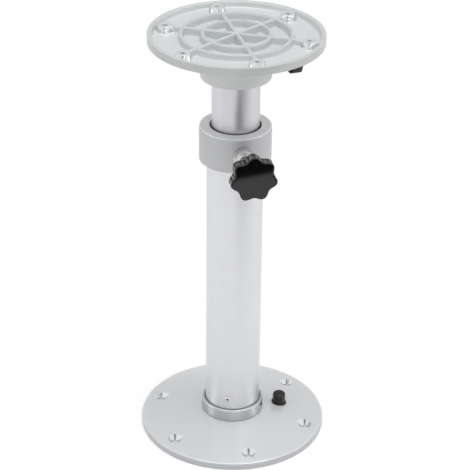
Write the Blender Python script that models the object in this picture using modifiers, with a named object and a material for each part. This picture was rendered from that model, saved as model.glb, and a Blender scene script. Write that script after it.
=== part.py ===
import math

import bmesh
import bpy
from mathutils import Euler, Vector

# General fits and mesh detail
FIT_GAP = 0.0003
CUT_REACH = 0.0050
MERGE = 0.00001
DISC_STEPS = 40
TUBE_STEPS = 30
SMALL_STEPS = 16
BOSS_STEPS = 12
SCREW_STEPS = 10
SHARP_ANGLE = math.radians(32)

# Hexagon recesses, as shares of the screw's radius
RECESS_SHARE = 0.55
RECESS_DEPTH_SHARE = 0.8
RECESS_SIDES = 6

# Base casting
BASE_RADIUS = 0.119
BASE_EDGE_HEIGHT = 0.0086
BASE_EDGE_ROUND = 0.0028
BASE_HEIGHT = 0.0190
BASE_WALL = 0.0040
BASE_RIM_WIDTH = 0.0050
BASE_HUB_WALL = 0.0067
BASE_SHOULDER = 0.0020
BASE_LIP_HEIGHT = 0.0020
BASE_LIP_WIDTH = 0.0057
BASE_RIB_WIDTH = 0.0030
BASE_RIB_LIFT = 0.0015

# Six screws hold the base down
BASE_SCREW_COUNT = 6
BASE_SCREW_INSET = 0.0196
BASE_SCREW_AZIMUTH = math.radians(-17.5)
BASE_SCREW_RADIUS = 0.0040
BASE_SINK_RADIUS = 0.0076
BASE_BOSS_RADIUS = 0.0100

# Socket ring pressed into the base
SOCKET_CLEARANCE = 0.0007
RING_WALL = 0.0038
RING_HEIGHT = 0.0162
RING_ROUND = 0.0020
SPIGOT_WALL = 0.0023
SPIGOT_DEPTH = 0.0103
RING_SCREW_AZIMUTH = math.radians(-17)
RING_SCREW_HEIGHT = 0.0095
RING_SCREW_RADIUS = 0.0020
RING_SCREW_PROUD = 0.0008

# Release button and the latch bolt that it draws back
BUTTON_STANDOFF = 0.0179
BUTTON_AZIMUTH = math.radians(11.2)
BUTTON_RADIUS = 0.0083
BUTTON_HEIGHT = 0.0152
BUTTON_WALL = 0.0015
BUTTON_ROOF = 0.0035
BUTTON_ROUND = 0.0030
BUTTON_DOME = 0.0010
BUTTON_STEM_RADIUS = 0.0035
GUIDE_WALL = 0.0009
GUIDE_HEIGHT = 0.0021
GUIDE_FLOOR = 0.0023
GUIDE_BOSS_WALL = 0.0030
SPRING_TURNS = 5
SPRING_WIRE = 0.0011
SPRING_POINTS_PER_TURN = 8
BLADE_WIDTH = 0.0024
BLADE_THICKNESS = 0.0040
BLADE_INSET = 0.0008
BLADE_ENGAGEMENT = 0.0019
BOLT_TRAVEL = 0.0045
BOLT_THICKNESS = 0.0050
BOLT_WIDTH = 0.0120
BOLT_ENGAGEMENT = 0.0033
BOLT_TAIL = 0.0035
BOLT_NOSE = 0.0022
COVER_LIFT = 0.0008
COVER_THICKNESS = 0.0018
COVER_WIDTH = 0.0320
COVER_LENGTH = 0.0340
COVER_SCREW_RADIUS = 0.0014
COVER_SCREW_OFFSET = 0.0125
COVER_SCREW_LENGTH = 0.0075
COVER_BOSS_RADIUS = 0.0035
RAIL_WIDTH = 0.0030
RAIL_CLEARANCE = 0.00045

# Leg foot
PLUG_LIP = 0.0018
PLUG_FLANGE = 0.0048
PLUG_HEIGHT = 0.0597
PLUG_WALL = 0.0054
PLUG_FLOOR = 0.0070
GROOVE_DEPTH = 0.0037
FOOT_SCREW_COUNT = 3
FOOT_SCREW_AZIMUTH = math.radians(-100)
FOOT_SCREW_DROP = 0.0110
FOOT_SCREW_RADIUS = 0.0020
FOOT_SCREW_HEAD = 0.0038
FOOT_SCREW_DOME = 0.0013
FOOT_SCREW_RIM = 0.0004
FOOT_SCREW_LENGTH = 0.0075

# Lower tube and clamp collar
TUBE_RADIUS = 0.035
TUBE_WALL = 0.0033
TUBE_LENGTH = 0.4037
COLLAR_WALL = 0.0093
COLLAR_HEIGHT = 0.0451
COLLAR_CAP = 0.0099
COLLAR_ROUND = 0.0025
COLLAR_CHAMFER = 0.0008
COLLAR_BOSS_RADIUS = 0.0136
COLLAR_BOSS_HEIGHT = 0.0051
COLLAR_SCREW_AZIMUTHS = (math.radians(180), math.radians(24))
COLLAR_SCREW_DROP = 0.0230
COLLAR_SCREW_RADIUS = 0.0025
COLLAR_SCREW_LENGTH = 0.0070
BUSH_LENGTH = 0.0650
BUSH_WALL = 0.0018

# Clamp knob on its stud
KNOB_AZIMUTH = math.radians(-78)
KNOB_DROP = 0.0215
KNOB_REACH = 0.0657
KNOB_LOBES = 7
KNOB_TIP_RADIUS = 0.0287
KNOB_VALLEY_RADIUS = 0.0241
KNOB_THICKNESS = 0.0140
KNOB_ROUND = 0.0016
KNOB_TURN = math.radians(89.8)
KNOB_POINTS_PER_LOBE = 7
KNOB_STEM_RADIUS = 0.0110
KNOB_STEM_TIP_RADIUS = 0.0090
KNOB_STEM_LENGTH = 0.0300
STUD_RADIUS = 0.0050
STUD_TIP_RADIUS = 0.0035
STUD_TIP_LENGTH = 0.0040
STUD_IN_KNOB = 0.0220
INSERT_RADIUS = 0.0085
INSERT_FLANGE_RADIUS = 0.0134
INSERT_FLANGE_HEIGHT = 0.0016
INSERT_SLEEVE_RADIUS = 0.0090
INSERT_CHAMFER = 0.0004
PAD_RADIUS = 0.0060
PAD_LENGTH = 0.0080
PAD_FLOOR = 0.0040
CLAMP_TRAVEL = 0.00225

# Inner tube
INNER_WALL = 0.0025
INNER_LENGTH = 0.3490
EXTENSION = 0.0636
GUIDE_SLEEVE = 0.0400
GUIDE_FLANGE = 0.0047
GUIDE_SPIGOT = 0.0200
GUIDE_SPIGOT_WALL = 0.0025

# Table plate, measured down from its top face
PLATE_RADIUS = 0.1060
PLATE_RISE = 0.0550
PLATE_RIM_HEIGHT = 0.0102
PLATE_LIP_WIDTH = 0.0052
PLATE_LIP_DRAFT = 0.0010
PLATE_EDGE_ROUND = 0.0007
PLATE_FACING = 0.0004
FLOOR_WALL = 0.0027
RIB_ROOT = 0.0020
OUTER_FLOOR_DEPTH = 0.0075
MIDDLE_FLOOR_DEPTH = 0.0090
CENTRE_FLOOR_DEPTH = 0.0105
CENTRE_FLOOR_RADIUS = 0.0300
CENTRE_FLOOR_WALL = 0.0033
OUTER_RING_RADIUS = 0.0660
INNER_RING_RADIUS = 0.0403
RING_RIB_WIDTH = 0.0040
RIB_DRAFT = 0.0003
RIB_WIDTH = 0.0042
RIB_COUNT = 3
PLATE_BOSS_INSET = 0.0177
PLATE_BOSS_AZIMUTH = math.radians(-14.3)
PLATE_BOSS_RADIUS = 0.0087
PLATE_BOSS_DRAFT = 0.0024
PLATE_HOLE_RADIUS = 0.0028
HUB_WALL = 0.0099
HUB_FILLET = 0.0030
HUB_ROUND = 0.0008

# Swivel inside the hub
HEAD_CLEARANCE = 0.0002
SPINDLE_PLUG = 0.0440
SPINDLE_BORE = 0.0100
SPINDLE_COLLAR = 0.0034
SPINDLE_LAND = 0.0070
SPINDLE_GROOVE = 0.0056
SPINDLE_GROOVE_DEPTH = 0.0025
SWIVEL_CLEARANCE = 0.0006
SWIVEL_BUSH_WALL = 0.0034
WASHER_THICKNESS = 0.0014
PIN_RADIUS = 0.0025
PIN_DROP = 0.0120
RETAINER_AZIMUTHS = (math.radians(107.7), math.radians(227.7))
RETAINER_RADIUS = 0.0030
RETAINER_TIP_RADIUS = 0.0025
RETAINER_TIP_LENGTH = 0.0038
RETAINER_LENGTH = 0.0105

# Lock lever below the plate
LEVER_AZIMUTH = math.radians(-12.3)
LEVER_PIVOT_STANDOFF = 0.0098
LEVER_DIRECTION = math.radians(-69.3)
LEVER_ARM_LENGTH = 0.0440
LEVER_ARM_WIDTH = 0.0120
LEVER_THICKNESS = 0.0050
CAM_RADIUS = 0.0065
CAM_OFFSET = 0.0015
CAM_ANGLE = math.radians(250)
PIVOT_BOSS_RADIUS = 0.0065
PIVOT_SHOULDER_RADIUS = 0.0040
PIVOT_THREAD_RADIUS = 0.0025
PIVOT_THREAD_LENGTH = 0.0060
PIVOT_HEAD_RADIUS = 0.0072
PIVOT_HEAD_HEIGHT = 0.0034
PIVOT_HEAD_ROUND = 0.0011
PIVOT_CLEARANCE = 0.0004
SHOE_RADIUS = 0.0045
GRIP_START = 0.0140
GRIP_LENGTH = 0.0354
GRIP_BOTTOM_WIDTH = 0.0150
GRIP_TOP_WIDTH = 0.0212
GRIP_BELOW_ARM = 0.0045
GRIP_ABOVE_ARM = 0.0037
GRIP_ROUND = 0.0012

# Heights worked out from the sizes above, base upwards
SOCKET_RADIUS = TUBE_RADIUS + SOCKET_CLEARANCE
SPIGOT_RADIUS = SOCKET_RADIUS + SPIGOT_WALL
RING_RADIUS = SOCKET_RADIUS + RING_WALL
HUB_BORE_RADIUS = SPIGOT_RADIUS + FIT_GAP
BASE_HUB_RADIUS = HUB_BORE_RADIUS + BASE_HUB_WALL
BASE_FACE_RADIUS = RING_RADIUS + BASE_SHOULDER
BASE_SCREW_CIRCLE = BASE_RADIUS - BASE_SCREW_INSET
BUTTON_CIRCLE = BASE_HUB_RADIUS + BUTTON_STANDOFF
RING_BOTTOM = BASE_HEIGHT + FIT_GAP
RING_TOP = RING_BOTTOM + RING_HEIGHT
SPIGOT_BOTTOM = RING_BOTTOM - SPIGOT_DEPTH

COVER_TOP = COVER_LIFT + COVER_THICKNESS
BOLT_BOTTOM = COVER_TOP + FIT_GAP
BOLT_TOP = BOLT_BOTTOM + BOLT_THICKNESS
PLUG_BOTTOM = BASE_LIP_HEIGHT + FIT_GAP
GROOVE_BOTTOM = PLUG_BOTTOM + PLUG_LIP
GROOVE_TOP = BOLT_TOP + FIT_GAP
PLUG_SHOULDER = GROOVE_TOP + PLUG_FLANGE
PLUG_TOP = PLUG_BOTTOM + PLUG_HEIGHT
FOOT_SCREW_HEIGHT = PLUG_TOP - FOOT_SCREW_DROP
TUBE_BOTTOM = PLUG_SHOULDER + FIT_GAP
TUBE_TOP = TUBE_BOTTOM + TUBE_LENGTH
TUBE_BORE_RADIUS = TUBE_RADIUS - TUBE_WALL

COLLAR_RADIUS = TUBE_RADIUS + COLLAR_WALL
COLLAR_BOSS_FACE = COLLAR_RADIUS + COLLAR_BOSS_HEIGHT
COLLAR_TOP = TUBE_TOP + FIT_GAP + COLLAR_CAP
COLLAR_BOTTOM = COLLAR_TOP - COLLAR_HEIGHT
KNOB_HEIGHT = COLLAR_TOP - KNOB_DROP
COLLAR_SCREW_HEIGHT = COLLAR_TOP - COLLAR_SCREW_DROP
BUSH_RADIUS = TUBE_BORE_RADIUS - FIT_GAP
BUSH_BORE_RADIUS = BUSH_RADIUS - BUSH_WALL
INNER_RADIUS = BUSH_BORE_RADIUS - FIT_GAP
BUSH_TOP = COLLAR_TOP - FIT_GAP

HUB_BOTTOM = COLLAR_TOP + EXTENSION
PLATE_TOP = HUB_BOTTOM + PLATE_RISE
PLATE_RIM_BOTTOM = PLATE_TOP - PLATE_RIM_HEIGHT
HUB_BORE_TOP = PLATE_TOP - CENTRE_FLOOR_DEPTH - CENTRE_FLOOR_WALL
PLATE_UNDERSIDE = PLATE_TOP - MIDDLE_FLOOR_DEPTH - FLOOR_WALL
WASHER_TOP = HUB_BORE_TOP - FIT_GAP
SPINDLE_TOP = WASHER_TOP - WASHER_THICKNESS - FIT_GAP
SPINDLE_GROOVE_TOP = SPINDLE_TOP - SPINDLE_LAND
SPINDLE_GROOVE_BOTTOM = SPINDLE_GROOVE_TOP - SPINDLE_GROOVE
SPINDLE_SHOULDER = SPINDLE_GROOVE_BOTTOM - SPINDLE_COLLAR
INNER_TOP = SPINDLE_SHOULDER - FIT_GAP
INNER_BOTTOM = INNER_TOP - INNER_LENGTH
INNER_BORE_RADIUS = INNER_RADIUS - INNER_WALL
SPINDLE_HEAD_RADIUS = INNER_RADIUS - HEAD_CLEARANCE
SPINDLE_GROOVE_RADIUS = SPINDLE_HEAD_RADIUS - SPINDLE_GROOVE_DEPTH
SWIVEL_BORE_RADIUS = SPINDLE_HEAD_RADIUS + SWIVEL_CLEARANCE
SWIVEL_BUSH_RADIUS = BUSH_BORE_RADIUS + SWIVEL_BUSH_WALL
HUB_RADIUS = SWIVEL_BUSH_RADIUS + FIT_GAP + HUB_WALL
LEVER_PIVOT_CIRCLE = HUB_RADIUS + LEVER_PIVOT_STANDOFF
PLATE_BOSS_CIRCLE = PLATE_RADIUS - PLATE_BOSS_INSET
BUSH_SEAT_HEIGHT = SPINDLE_SHOULDER + SPINDLE_COLLAR / 2
PIN_HEIGHT = INNER_TOP - PIN_DROP
RETAINER_HEIGHT = (SPINDLE_GROOVE_TOP + SPINDLE_GROOVE_BOTTOM) / 2
SHOE_HEIGHT = SPINDLE_TOP - SPINDLE_LAND / 2
LEVER_BOTTOM = SHOE_HEIGHT - LEVER_THICKNESS / 2
LEVER_TOP = SHOE_HEIGHT + LEVER_THICKNESS / 2

PALETTE = {
    "cast paint": ((0.56, 0.58, 0.59), 0.42, 0.15),
    "satin aluminium": ((0.62, 0.63, 0.65), 0.30, 0.85),
    "turned aluminium": ((0.55, 0.56, 0.57), 0.28, 1.0),
    "bright steel": ((0.60, 0.60, 0.60), 0.20, 1.0),
    "black moulding": ((0.012, 0.012, 0.013), 0.28, 0.0),
    "black nylon": ((0.03, 0.03, 0.032), 0.50, 0.0),
    "white acetal": ((0.75, 0.75, 0.72), 0.45, 0.0),
    "dark steel": ((0.10, 0.10, 0.11), 0.40, 1.0),
}


def clear_scene():
    for obj in list(bpy.data.objects):
        bpy.data.objects.remove(obj, do_unlink=True)


def add_collection(name):
    collection = bpy.data.collections.new(name)
    bpy.context.scene.collection.children.link(collection)
    return collection


clear_scene()
PARTS = add_collection("telescopic_table_pedestal")
CUTTERS = add_collection("cutters")


def material(name):
    found = bpy.data.materials.get(name)
    if found:
        return found
    colour, roughness, metallic = PALETTE[name]
    made = bpy.data.materials.new(name)
    made.use_nodes = True
    shader = made.node_tree.nodes["Principled BSDF"]
    shader.inputs["Base Color"].default_value = (*colour, 1.0)
    shader.inputs["Roughness"].default_value = roughness
    shader.inputs["Metallic"].default_value = metallic
    made.diffuse_color = (*colour, 1.0)
    return made


def add_mesh_object(name, mesh):
    obj = bpy.data.objects.new(name, mesh)
    CUTTERS.objects.link(obj)
    obj.hide_render = True
    obj.display_type = "WIRE"
    return obj


# Profile corners are (radius, height) or (radius, height, fillet); each fillet becomes an arc
def rounded(corners, segments=2):
    points = []
    count = len(corners)
    for index, corner in enumerate(corners):
        here = Vector(corner[:2])
        if len(corner) == 2:
            points.append(tuple(here))
            continue
        before = (Vector(corners[index - 1][:2]) - here).normalized()
        after = (Vector(corners[(index + 1) % count][:2]) - here).normalized()
        half_angle = before.angle(after) / 2
        centre = here + (before + after).normalized() * (corner[2] / math.sin(half_angle))
        tangent = corner[2] / math.tan(half_angle)
        first = here + before * tangent - centre
        last = here + after * tangent - centre
        for step in range(segments + 1):
            mix = first.lerp(last, step / segments)
            points.append(tuple(centre + mix.normalized() * corner[2]))
    return points


# A closed profile makes a ring, an open one starts and ends on the axis
def turned(name, corners, steps=TUBE_STEPS, closed=True):
    points = rounded(corners)
    edges = [(index, index + 1) for index in range(len(points) - 1)]
    if closed:
        edges.append((len(points) - 1, 0))
    mesh = bpy.data.meshes.new(name)
    mesh.from_pydata([(radius, 0.0, height) for radius, height in points], edges, [])
    obj = add_mesh_object(name, mesh)
    screw = obj.modifiers.new("Turn", "SCREW")
    screw.axis = "Z"
    screw.steps = steps
    screw.render_steps = steps
    screw.use_merge_vertices = True
    screw.merge_threshold = MERGE
    return obj


def cylinder(name, radius, start, end, top_radius=None, steps=SMALL_STEPS):
    mesh = bpy.data.meshes.new(name)
    shape = bmesh.new()
    bmesh.ops.create_cone(
        shape,
        cap_ends=True,
        segments=steps,
        radius1=radius,
        radius2=radius if top_radius is None else top_radius,
        depth=end - start,
    )
    bmesh.ops.translate(shape, verts=shape.verts, vec=(0, 0, (start + end) / 2))
    shape.to_mesh(mesh)
    shape.free()
    return add_mesh_object(name, mesh)


def box(name, low, high):
    mesh = bpy.data.meshes.new(name)
    shape = bmesh.new()
    bmesh.ops.create_cube(shape, size=1)
    size = Vector(high) - Vector(low)
    bmesh.ops.scale(shape, verts=shape.verts, vec=size)
    bmesh.ops.translate(shape, verts=shape.verts, vec=(Vector(high) + Vector(low)) / 2)
    shape.to_mesh(mesh)
    shape.free()
    return add_mesh_object(name, mesh)


def mesh_of(obj):
    graph = bpy.context.evaluated_depsgraph_get()
    return bpy.data.meshes.new_from_object(obj.evaluated_get(graph))


def welded(name, obj):
    mesh = mesh_of(obj)
    mesh.name = name
    shape = bmesh.new()
    shape.from_mesh(mesh)
    bmesh.ops.remove_doubles(shape, verts=shape.verts, dist=MERGE)
    bmesh.ops.recalc_face_normals(shape, faces=shape.faces)
    shape.to_mesh(mesh)
    shape.free()
    made = add_mesh_object(name, mesh)
    made.matrix_world = obj.matrix_world
    bpy.data.objects.remove(obj, do_unlink=True)
    return made


# A flat outline in XY, thick along Z, with an optional rolled edge
def extruded(name, outline, thickness, edge=0.0):
    curve = bpy.data.curves.new(name + "_outline", "CURVE")
    curve.dimensions = "2D"
    curve.fill_mode = "BOTH"
    curve.extrude = thickness / 2 - edge
    curve.bevel_depth = edge
    curve.offset = -edge
    curve.bevel_resolution = 1
    spline = curve.splines.new("POLY")
    spline.points.add(len(outline) - 1)
    for point, place in zip(spline.points, outline):
        point.co = (place[0], place[1], 0, 1)
    spline.use_cyclic_u = True
    guide = add_mesh_object(name + "_curve", curve)
    return welded(name, guide)


def place(obj, location=(0, 0, 0), rotation=(0, 0, 0)):
    obj.location = location
    obj.rotation_euler = Euler(rotation)
    return obj


# Local Z points outwards along the azimuth, and local X points down
def aim_outwards(obj, azimuth, height):
    return place(obj, (0, 0, height), (0, math.pi / 2, azimuth))


# Local X points outwards along the azimuth, local Y up and local Z sideways
def stand_outline(obj, azimuth, radius=0.0):
    return place(obj, around(radius, azimuth), (math.pi / 2, 0, azimuth))


def around(radius, azimuth, height=0.0):
    return Vector((radius * math.cos(azimuth), radius * math.sin(azimuth), height))


def boolean(obj, tool, operation):
    modifier = obj.modifiers.new(tool.name, "BOOLEAN")
    modifier.operation = operation
    modifier.solver = "EXACT"
    modifier.object = tool


def cut(obj, *tools):
    for tool in tools:
        boolean(obj, tool, "DIFFERENCE")


def join(obj, *tools):
    for tool in tools:
        boolean(obj, tool, "UNION")


def finish(obj, material_name):
    bpy.context.view_layer.update()
    mesh = mesh_of(obj)
    mesh.name = obj.name
    mesh.materials.clear()
    mesh.materials.append(material(material_name))
    mesh.shade_smooth()
    mesh.set_sharp_from_angle(angle=SHARP_ANGLE)
    obj.modifiers.clear()
    obj.data = mesh
    CUTTERS.objects.unlink(obj)
    PARTS.objects.link(obj)
    obj.hide_render = False
    obj.display_type = "TEXTURED"
    return obj


def base_top(radius):
    rise = BASE_HEIGHT - BASE_EDGE_HEIGHT
    run = BASE_RADIUS - BASE_FACE_RADIUS
    return BASE_HEIGHT - (radius - BASE_FACE_RADIUS) * rise / run


def base_underside(radius):
    return base_top(radius) - BASE_WALL


# A rib below the cone whose top is buried in the wall
def base_web(name, start, end, bottom, width, azimuth, side=0.0):
    outline = [
        (start, bottom),
        (end, bottom),
        (end, base_underside(end) + BASE_WALL / 2),
        (start, base_underside(start) + BASE_WALL / 2),
    ]
    web = extruded(name, outline, width)
    stand_outline(web, azimuth)
    web.location = around(side, azimuth + math.pi / 2)
    return web


def base_plate():
    inner_rim = BASE_RADIUS - BASE_RIM_WIDTH
    plate = turned(
        "base_plate",
        [
            (HUB_BORE_RADIUS, BASE_HEIGHT),
            (BASE_FACE_RADIUS, BASE_HEIGHT),
            (BASE_RADIUS, BASE_EDGE_HEIGHT, BASE_EDGE_ROUND),
            (BASE_RADIUS, 0.0),
            (inner_rim, 0.0),
            (inner_rim, base_underside(inner_rim)),
            (BASE_HUB_RADIUS, base_underside(BASE_HUB_RADIUS)),
            (BASE_HUB_RADIUS, 0.0),
            (SOCKET_RADIUS - BASE_LIP_WIDTH, 0.0),
            (SOCKET_RADIUS - BASE_LIP_WIDTH, BASE_LIP_HEIGHT),
            (SOCKET_RADIUS, BASE_LIP_HEIGHT),
            (SOCKET_RADIUS, SPIGOT_BOTTOM - FIT_GAP),
            (HUB_BORE_RADIUS, SPIGOT_BOTTOM - FIT_GAP),
        ],
        steps=DISC_STEPS,
    )
    for index in range(BASE_SCREW_COUNT):
        azimuth = BASE_SCREW_AZIMUTH + index * 2 * math.pi / BASE_SCREW_COUNT
        centre = around(BASE_SCREW_CIRCLE, azimuth)
        boss_top = base_underside(BASE_SCREW_CIRCLE + BASE_BOSS_RADIUS) + BASE_WALL / 2
        boss = cylinder(f"screw_boss_{index}", BASE_BOSS_RADIUS, 0.0, boss_top, steps=BOSS_STEPS)
        join(plate, place(boss, centre))
        rib_end = BASE_SCREW_CIRCLE - BASE_BOSS_RADIUS / 2
        rib_start = BASE_HUB_RADIUS - BASE_HUB_WALL / 2
        rib = base_web(f"rib_{index}", rib_start, rib_end, BASE_RIB_LIFT, BASE_RIB_WIDTH, azimuth)
        join(plate, rib)
    join(plate, *latch_housing())
    for index in range(BASE_SCREW_COUNT):
        azimuth = BASE_SCREW_AZIMUTH + index * 2 * math.pi / BASE_SCREW_COUNT
        sink_top = base_top(BASE_SCREW_CIRCLE) + BASE_SCREW_RADIUS / 2
        sink_depth = BASE_SINK_RADIUS + BASE_SCREW_RADIUS / 2 - BASE_SCREW_RADIUS
        hole = turned(
            f"screw_hole_{index}",
            [
                (0.0, sink_top),
                (BASE_SINK_RADIUS + BASE_SCREW_RADIUS / 2, sink_top),
                (BASE_SCREW_RADIUS, sink_top - sink_depth),
                (BASE_SCREW_RADIUS, -BASE_WALL),
                (0.0, -BASE_WALL),
            ],
            steps=BOSS_STEPS,
            closed=False,
        )
        cut(plate, place(hole, around(BASE_SCREW_CIRCLE, azimuth)))
    cut(plate, *latch_cuts())
    return finish(plate, "cast paint")


BUTTON_SURFACE = base_top(BUTTON_CIRCLE)
GUIDE_RADIUS = BUTTON_RADIUS + GUIDE_WALL + FIT_GAP
GUIDE_SEAT = BOLT_TOP + FIT_GAP + GUIDE_FLOOR
GUIDE_TOP = BUTTON_SURFACE + GUIDE_HEIGHT
GUIDE_BOSS_RADIUS = GUIDE_RADIUS + GUIDE_BOSS_WALL
BUTTON_TOP = BUTTON_SURFACE + BUTTON_HEIGHT
BUTTON_CEILING = BUTTON_TOP - BUTTON_ROOF
SKIRT_BOTTOM = GUIDE_SEAT + BOLT_TRAVEL + 2 * FIT_GAP
BLADE_BOTTOM = BOLT_TOP - BLADE_ENGAGEMENT
BLADE_TOP = BOLT_TOP + BOLT_TRAVEL + FIT_GAP
BLADE_SLANT = BLADE_TOP - BLADE_BOTTOM
BLADE_FACE = BUTTON_STEM_RADIUS - BLADE_INSET
SPRING_RADIUS = (BUTTON_STEM_RADIUS + BUTTON_RADIUS - BUTTON_WALL) / 2
BOLT_TIP = TUBE_RADIUS - FIT_GAP - BOLT_ENGAGEMENT
BOLT_END = BUTTON_CIRCLE + BOLT_TAIL
COVER_START = BASE_HUB_RADIUS + BASE_RIB_WIDTH
RAIL_OFFSET = BOLT_WIDTH / 2 + RAIL_CLEARANCE + RAIL_WIDTH / 2


# Slanted blade section: X outwards from the button's axis, Y upwards
def blade_outline(bottom, top, grow):
    low = BLADE_FACE - (BLADE_TOP - bottom)
    high = BLADE_FACE - (BLADE_TOP - top)
    return [
        (low + grow, bottom),
        (high + grow, top),
        (high - BLADE_WIDTH - grow, top),
        (low - BLADE_WIDTH - grow, bottom),
    ]


def latch_housing():
    seat_bottom = BOLT_TOP + FIT_GAP
    wall_middle = base_underside(BUTTON_CIRCLE + GUIDE_BOSS_RADIUS) + BASE_WALL / 2
    boss = cylinder("guide_boss", GUIDE_BOSS_RADIUS, seat_bottom, wall_middle)
    shapes = [place(boss, around(BUTTON_CIRCLE, BUTTON_AZIMUTH))]
    rail_start = BASE_HUB_RADIUS - BASE_HUB_WALL / 4
    rail_end = COVER_START + COVER_LENGTH
    for side in (-1, 1):
        rail = base_web(
            f"rail_{side}", rail_start, rail_end, BOLT_BOTTOM, RAIL_WIDTH, BUTTON_AZIMUTH, side * RAIL_OFFSET
        )
        shapes.append(rail)
        screw_boss = cylinder(f"cover_boss_{side}", COVER_BOSS_RADIUS, BOLT_BOTTOM + FIT_GAP, wall_middle)
        shapes.append(place(screw_boss, cover_screw_place(side)))
    return shapes


def latch_cuts():
    centre = around(BUTTON_CIRCLE, BUTTON_AZIMUTH)
    above = BUTTON_SURFACE + BASE_WALL
    seat = cylinder("guide_seat", GUIDE_RADIUS + FIT_GAP, GUIDE_SEAT, above, steps=SMALL_STEPS)
    shapes = [place(seat, centre)]
    stem_radius = BUTTON_STEM_RADIUS + FIT_GAP
    stem_hole = cylinder("stem_hole", stem_radius, BOLT_TOP, above)
    shapes.append(place(stem_hole, centre))
    slot_reach = BLADE_WIDTH + FIT_GAP + BLADE_TOP - BLADE_FACE - BOLT_TOP
    slot_side = BLADE_THICKNESS / 2 + FIT_GAP
    slot = box("blade_slot", (-slot_reach, -slot_side, BOLT_TOP), (0.0, slot_side, GUIDE_SEAT + FIT_GAP))
    shapes.append(place(slot, centre, (0, 0, BUTTON_AZIMUTH)))
    bolt_slot = box(
        "bolt_slot",
        (SOCKET_RADIUS - BASE_LIP_WIDTH / 4, -BOLT_WIDTH / 2 - FIT_GAP, BASE_LIP_HEIGHT),
        (BASE_HUB_RADIUS + BASE_RIB_WIDTH / 2, BOLT_WIDTH / 2 + FIT_GAP, BOLT_TOP + FIT_GAP),
    )
    shapes.append(place(bolt_slot, (0, 0, 0), (0, 0, BUTTON_AZIMUTH)))
    for side in (-1, 1):
        depth = COVER_LIFT + COVER_SCREW_LENGTH + FIT_GAP
        hole = cylinder(f"cover_hole_{side}", COVER_SCREW_RADIUS + FIT_GAP, 0.0, depth, steps=SCREW_STEPS)
        shapes.append(place(hole, cover_screw_place(side)))
    return shapes


def cover_screw_place(side):
    middle = COVER_START + COVER_LENGTH / 2
    return around(middle, BUTTON_AZIMUTH) + around(side * COVER_SCREW_OFFSET, BUTTON_AZIMUTH + math.pi / 2)


def socket_ring():
    ring = turned(
        "socket_ring",
        [
            (SOCKET_RADIUS, RING_TOP, RING_ROUND / 2),
            (RING_RADIUS, RING_TOP, RING_ROUND),
            (RING_RADIUS, RING_BOTTOM),
            (SPIGOT_RADIUS, RING_BOTTOM),
            (SPIGOT_RADIUS, SPIGOT_BOTTOM),
            (SOCKET_RADIUS, SPIGOT_BOTTOM),
        ],
    )
    start = SOCKET_RADIUS - RING_WALL
    hole = cylinder("ring_hole", RING_SCREW_RADIUS + FIT_GAP, start, RING_RADIUS + RING_WALL, steps=SCREW_STEPS)
    aim_outwards(hole, RING_SCREW_AZIMUTH, RING_BOTTOM + RING_SCREW_HEIGHT)
    cut(ring, hole)
    return finish(ring, "turned aluminium")


# A headless screw lying along an azimuth, with a hexagon recess in its outer end
def grub_screw(name, radius, start, end, azimuth, height, tip_radius=None, tip_length=0.0):
    corners = [(0.0, end), (radius, end), (radius, start + tip_length)]
    if tip_radius:
        corners += [(tip_radius, start + tip_length), (tip_radius, start)]
    corners.append((0.0, start))
    screw = turned(name, corners, steps=SCREW_STEPS, closed=False)
    aim_outwards(screw, azimuth, height)
    bottom = end - radius * RECESS_DEPTH_SHARE
    recess = cylinder(name + "_recess", radius * RECESS_SHARE, bottom, end + radius, steps=RECESS_SIDES)
    aim_outwards(recess, azimuth, height)
    cut(screw, recess)
    return finish(screw, "dark steel")


def ring_grub_screw():
    start = TUBE_RADIUS + FIT_GAP
    end = RING_RADIUS + RING_SCREW_PROUD
    height = RING_BOTTOM + RING_SCREW_HEIGHT
    return grub_screw("ring_grub_screw", RING_SCREW_RADIUS, start, end, RING_SCREW_AZIMUTH, height)


def button_guide():
    guide = turned(
        "button_guide",
        [
            (BUTTON_RADIUS + FIT_GAP, GUIDE_TOP),
            (GUIDE_RADIUS, GUIDE_TOP, GUIDE_WALL / 2),
            (GUIDE_RADIUS, GUIDE_SEAT + FIT_GAP),
            (BUTTON_RADIUS + FIT_GAP, GUIDE_SEAT + FIT_GAP),
        ],
        steps=SMALL_STEPS,
    )
    place(guide, around(BUTTON_CIRCLE, BUTTON_AZIMUTH))
    return finish(guide, "black moulding")


def release_button():
    button = turned(
        "release_button",
        [
            (0.0, BUTTON_CEILING),
            (BUTTON_RADIUS - BUTTON_WALL, BUTTON_CEILING),
            (BUTTON_RADIUS - BUTTON_WALL, SKIRT_BOTTOM),
            (BUTTON_RADIUS, SKIRT_BOTTOM),
            (BUTTON_RADIUS, BUTTON_TOP - BUTTON_DOME, BUTTON_ROUND),
            (0.0, BUTTON_TOP),
        ][::-1],
        steps=SMALL_STEPS,
        closed=False,
    )
    stem_top = BUTTON_CEILING + BUTTON_ROOF / 2
    stem = cylinder("button_stem", BUTTON_STEM_RADIUS, BLADE_TOP - FIT_GAP, stem_top)
    blade = extruded("button_blade", blade_outline(BLADE_BOTTOM, BLADE_TOP, 0.0), BLADE_THICKNESS)
    centre = around(BUTTON_CIRCLE, BUTTON_AZIMUTH)
    place(stem, centre)
    stand_outline(blade, BUTTON_AZIMUTH, BUTTON_CIRCLE)
    place(button, centre)
    join(button, stem, blade)
    return finish(button, "black moulding")


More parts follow.
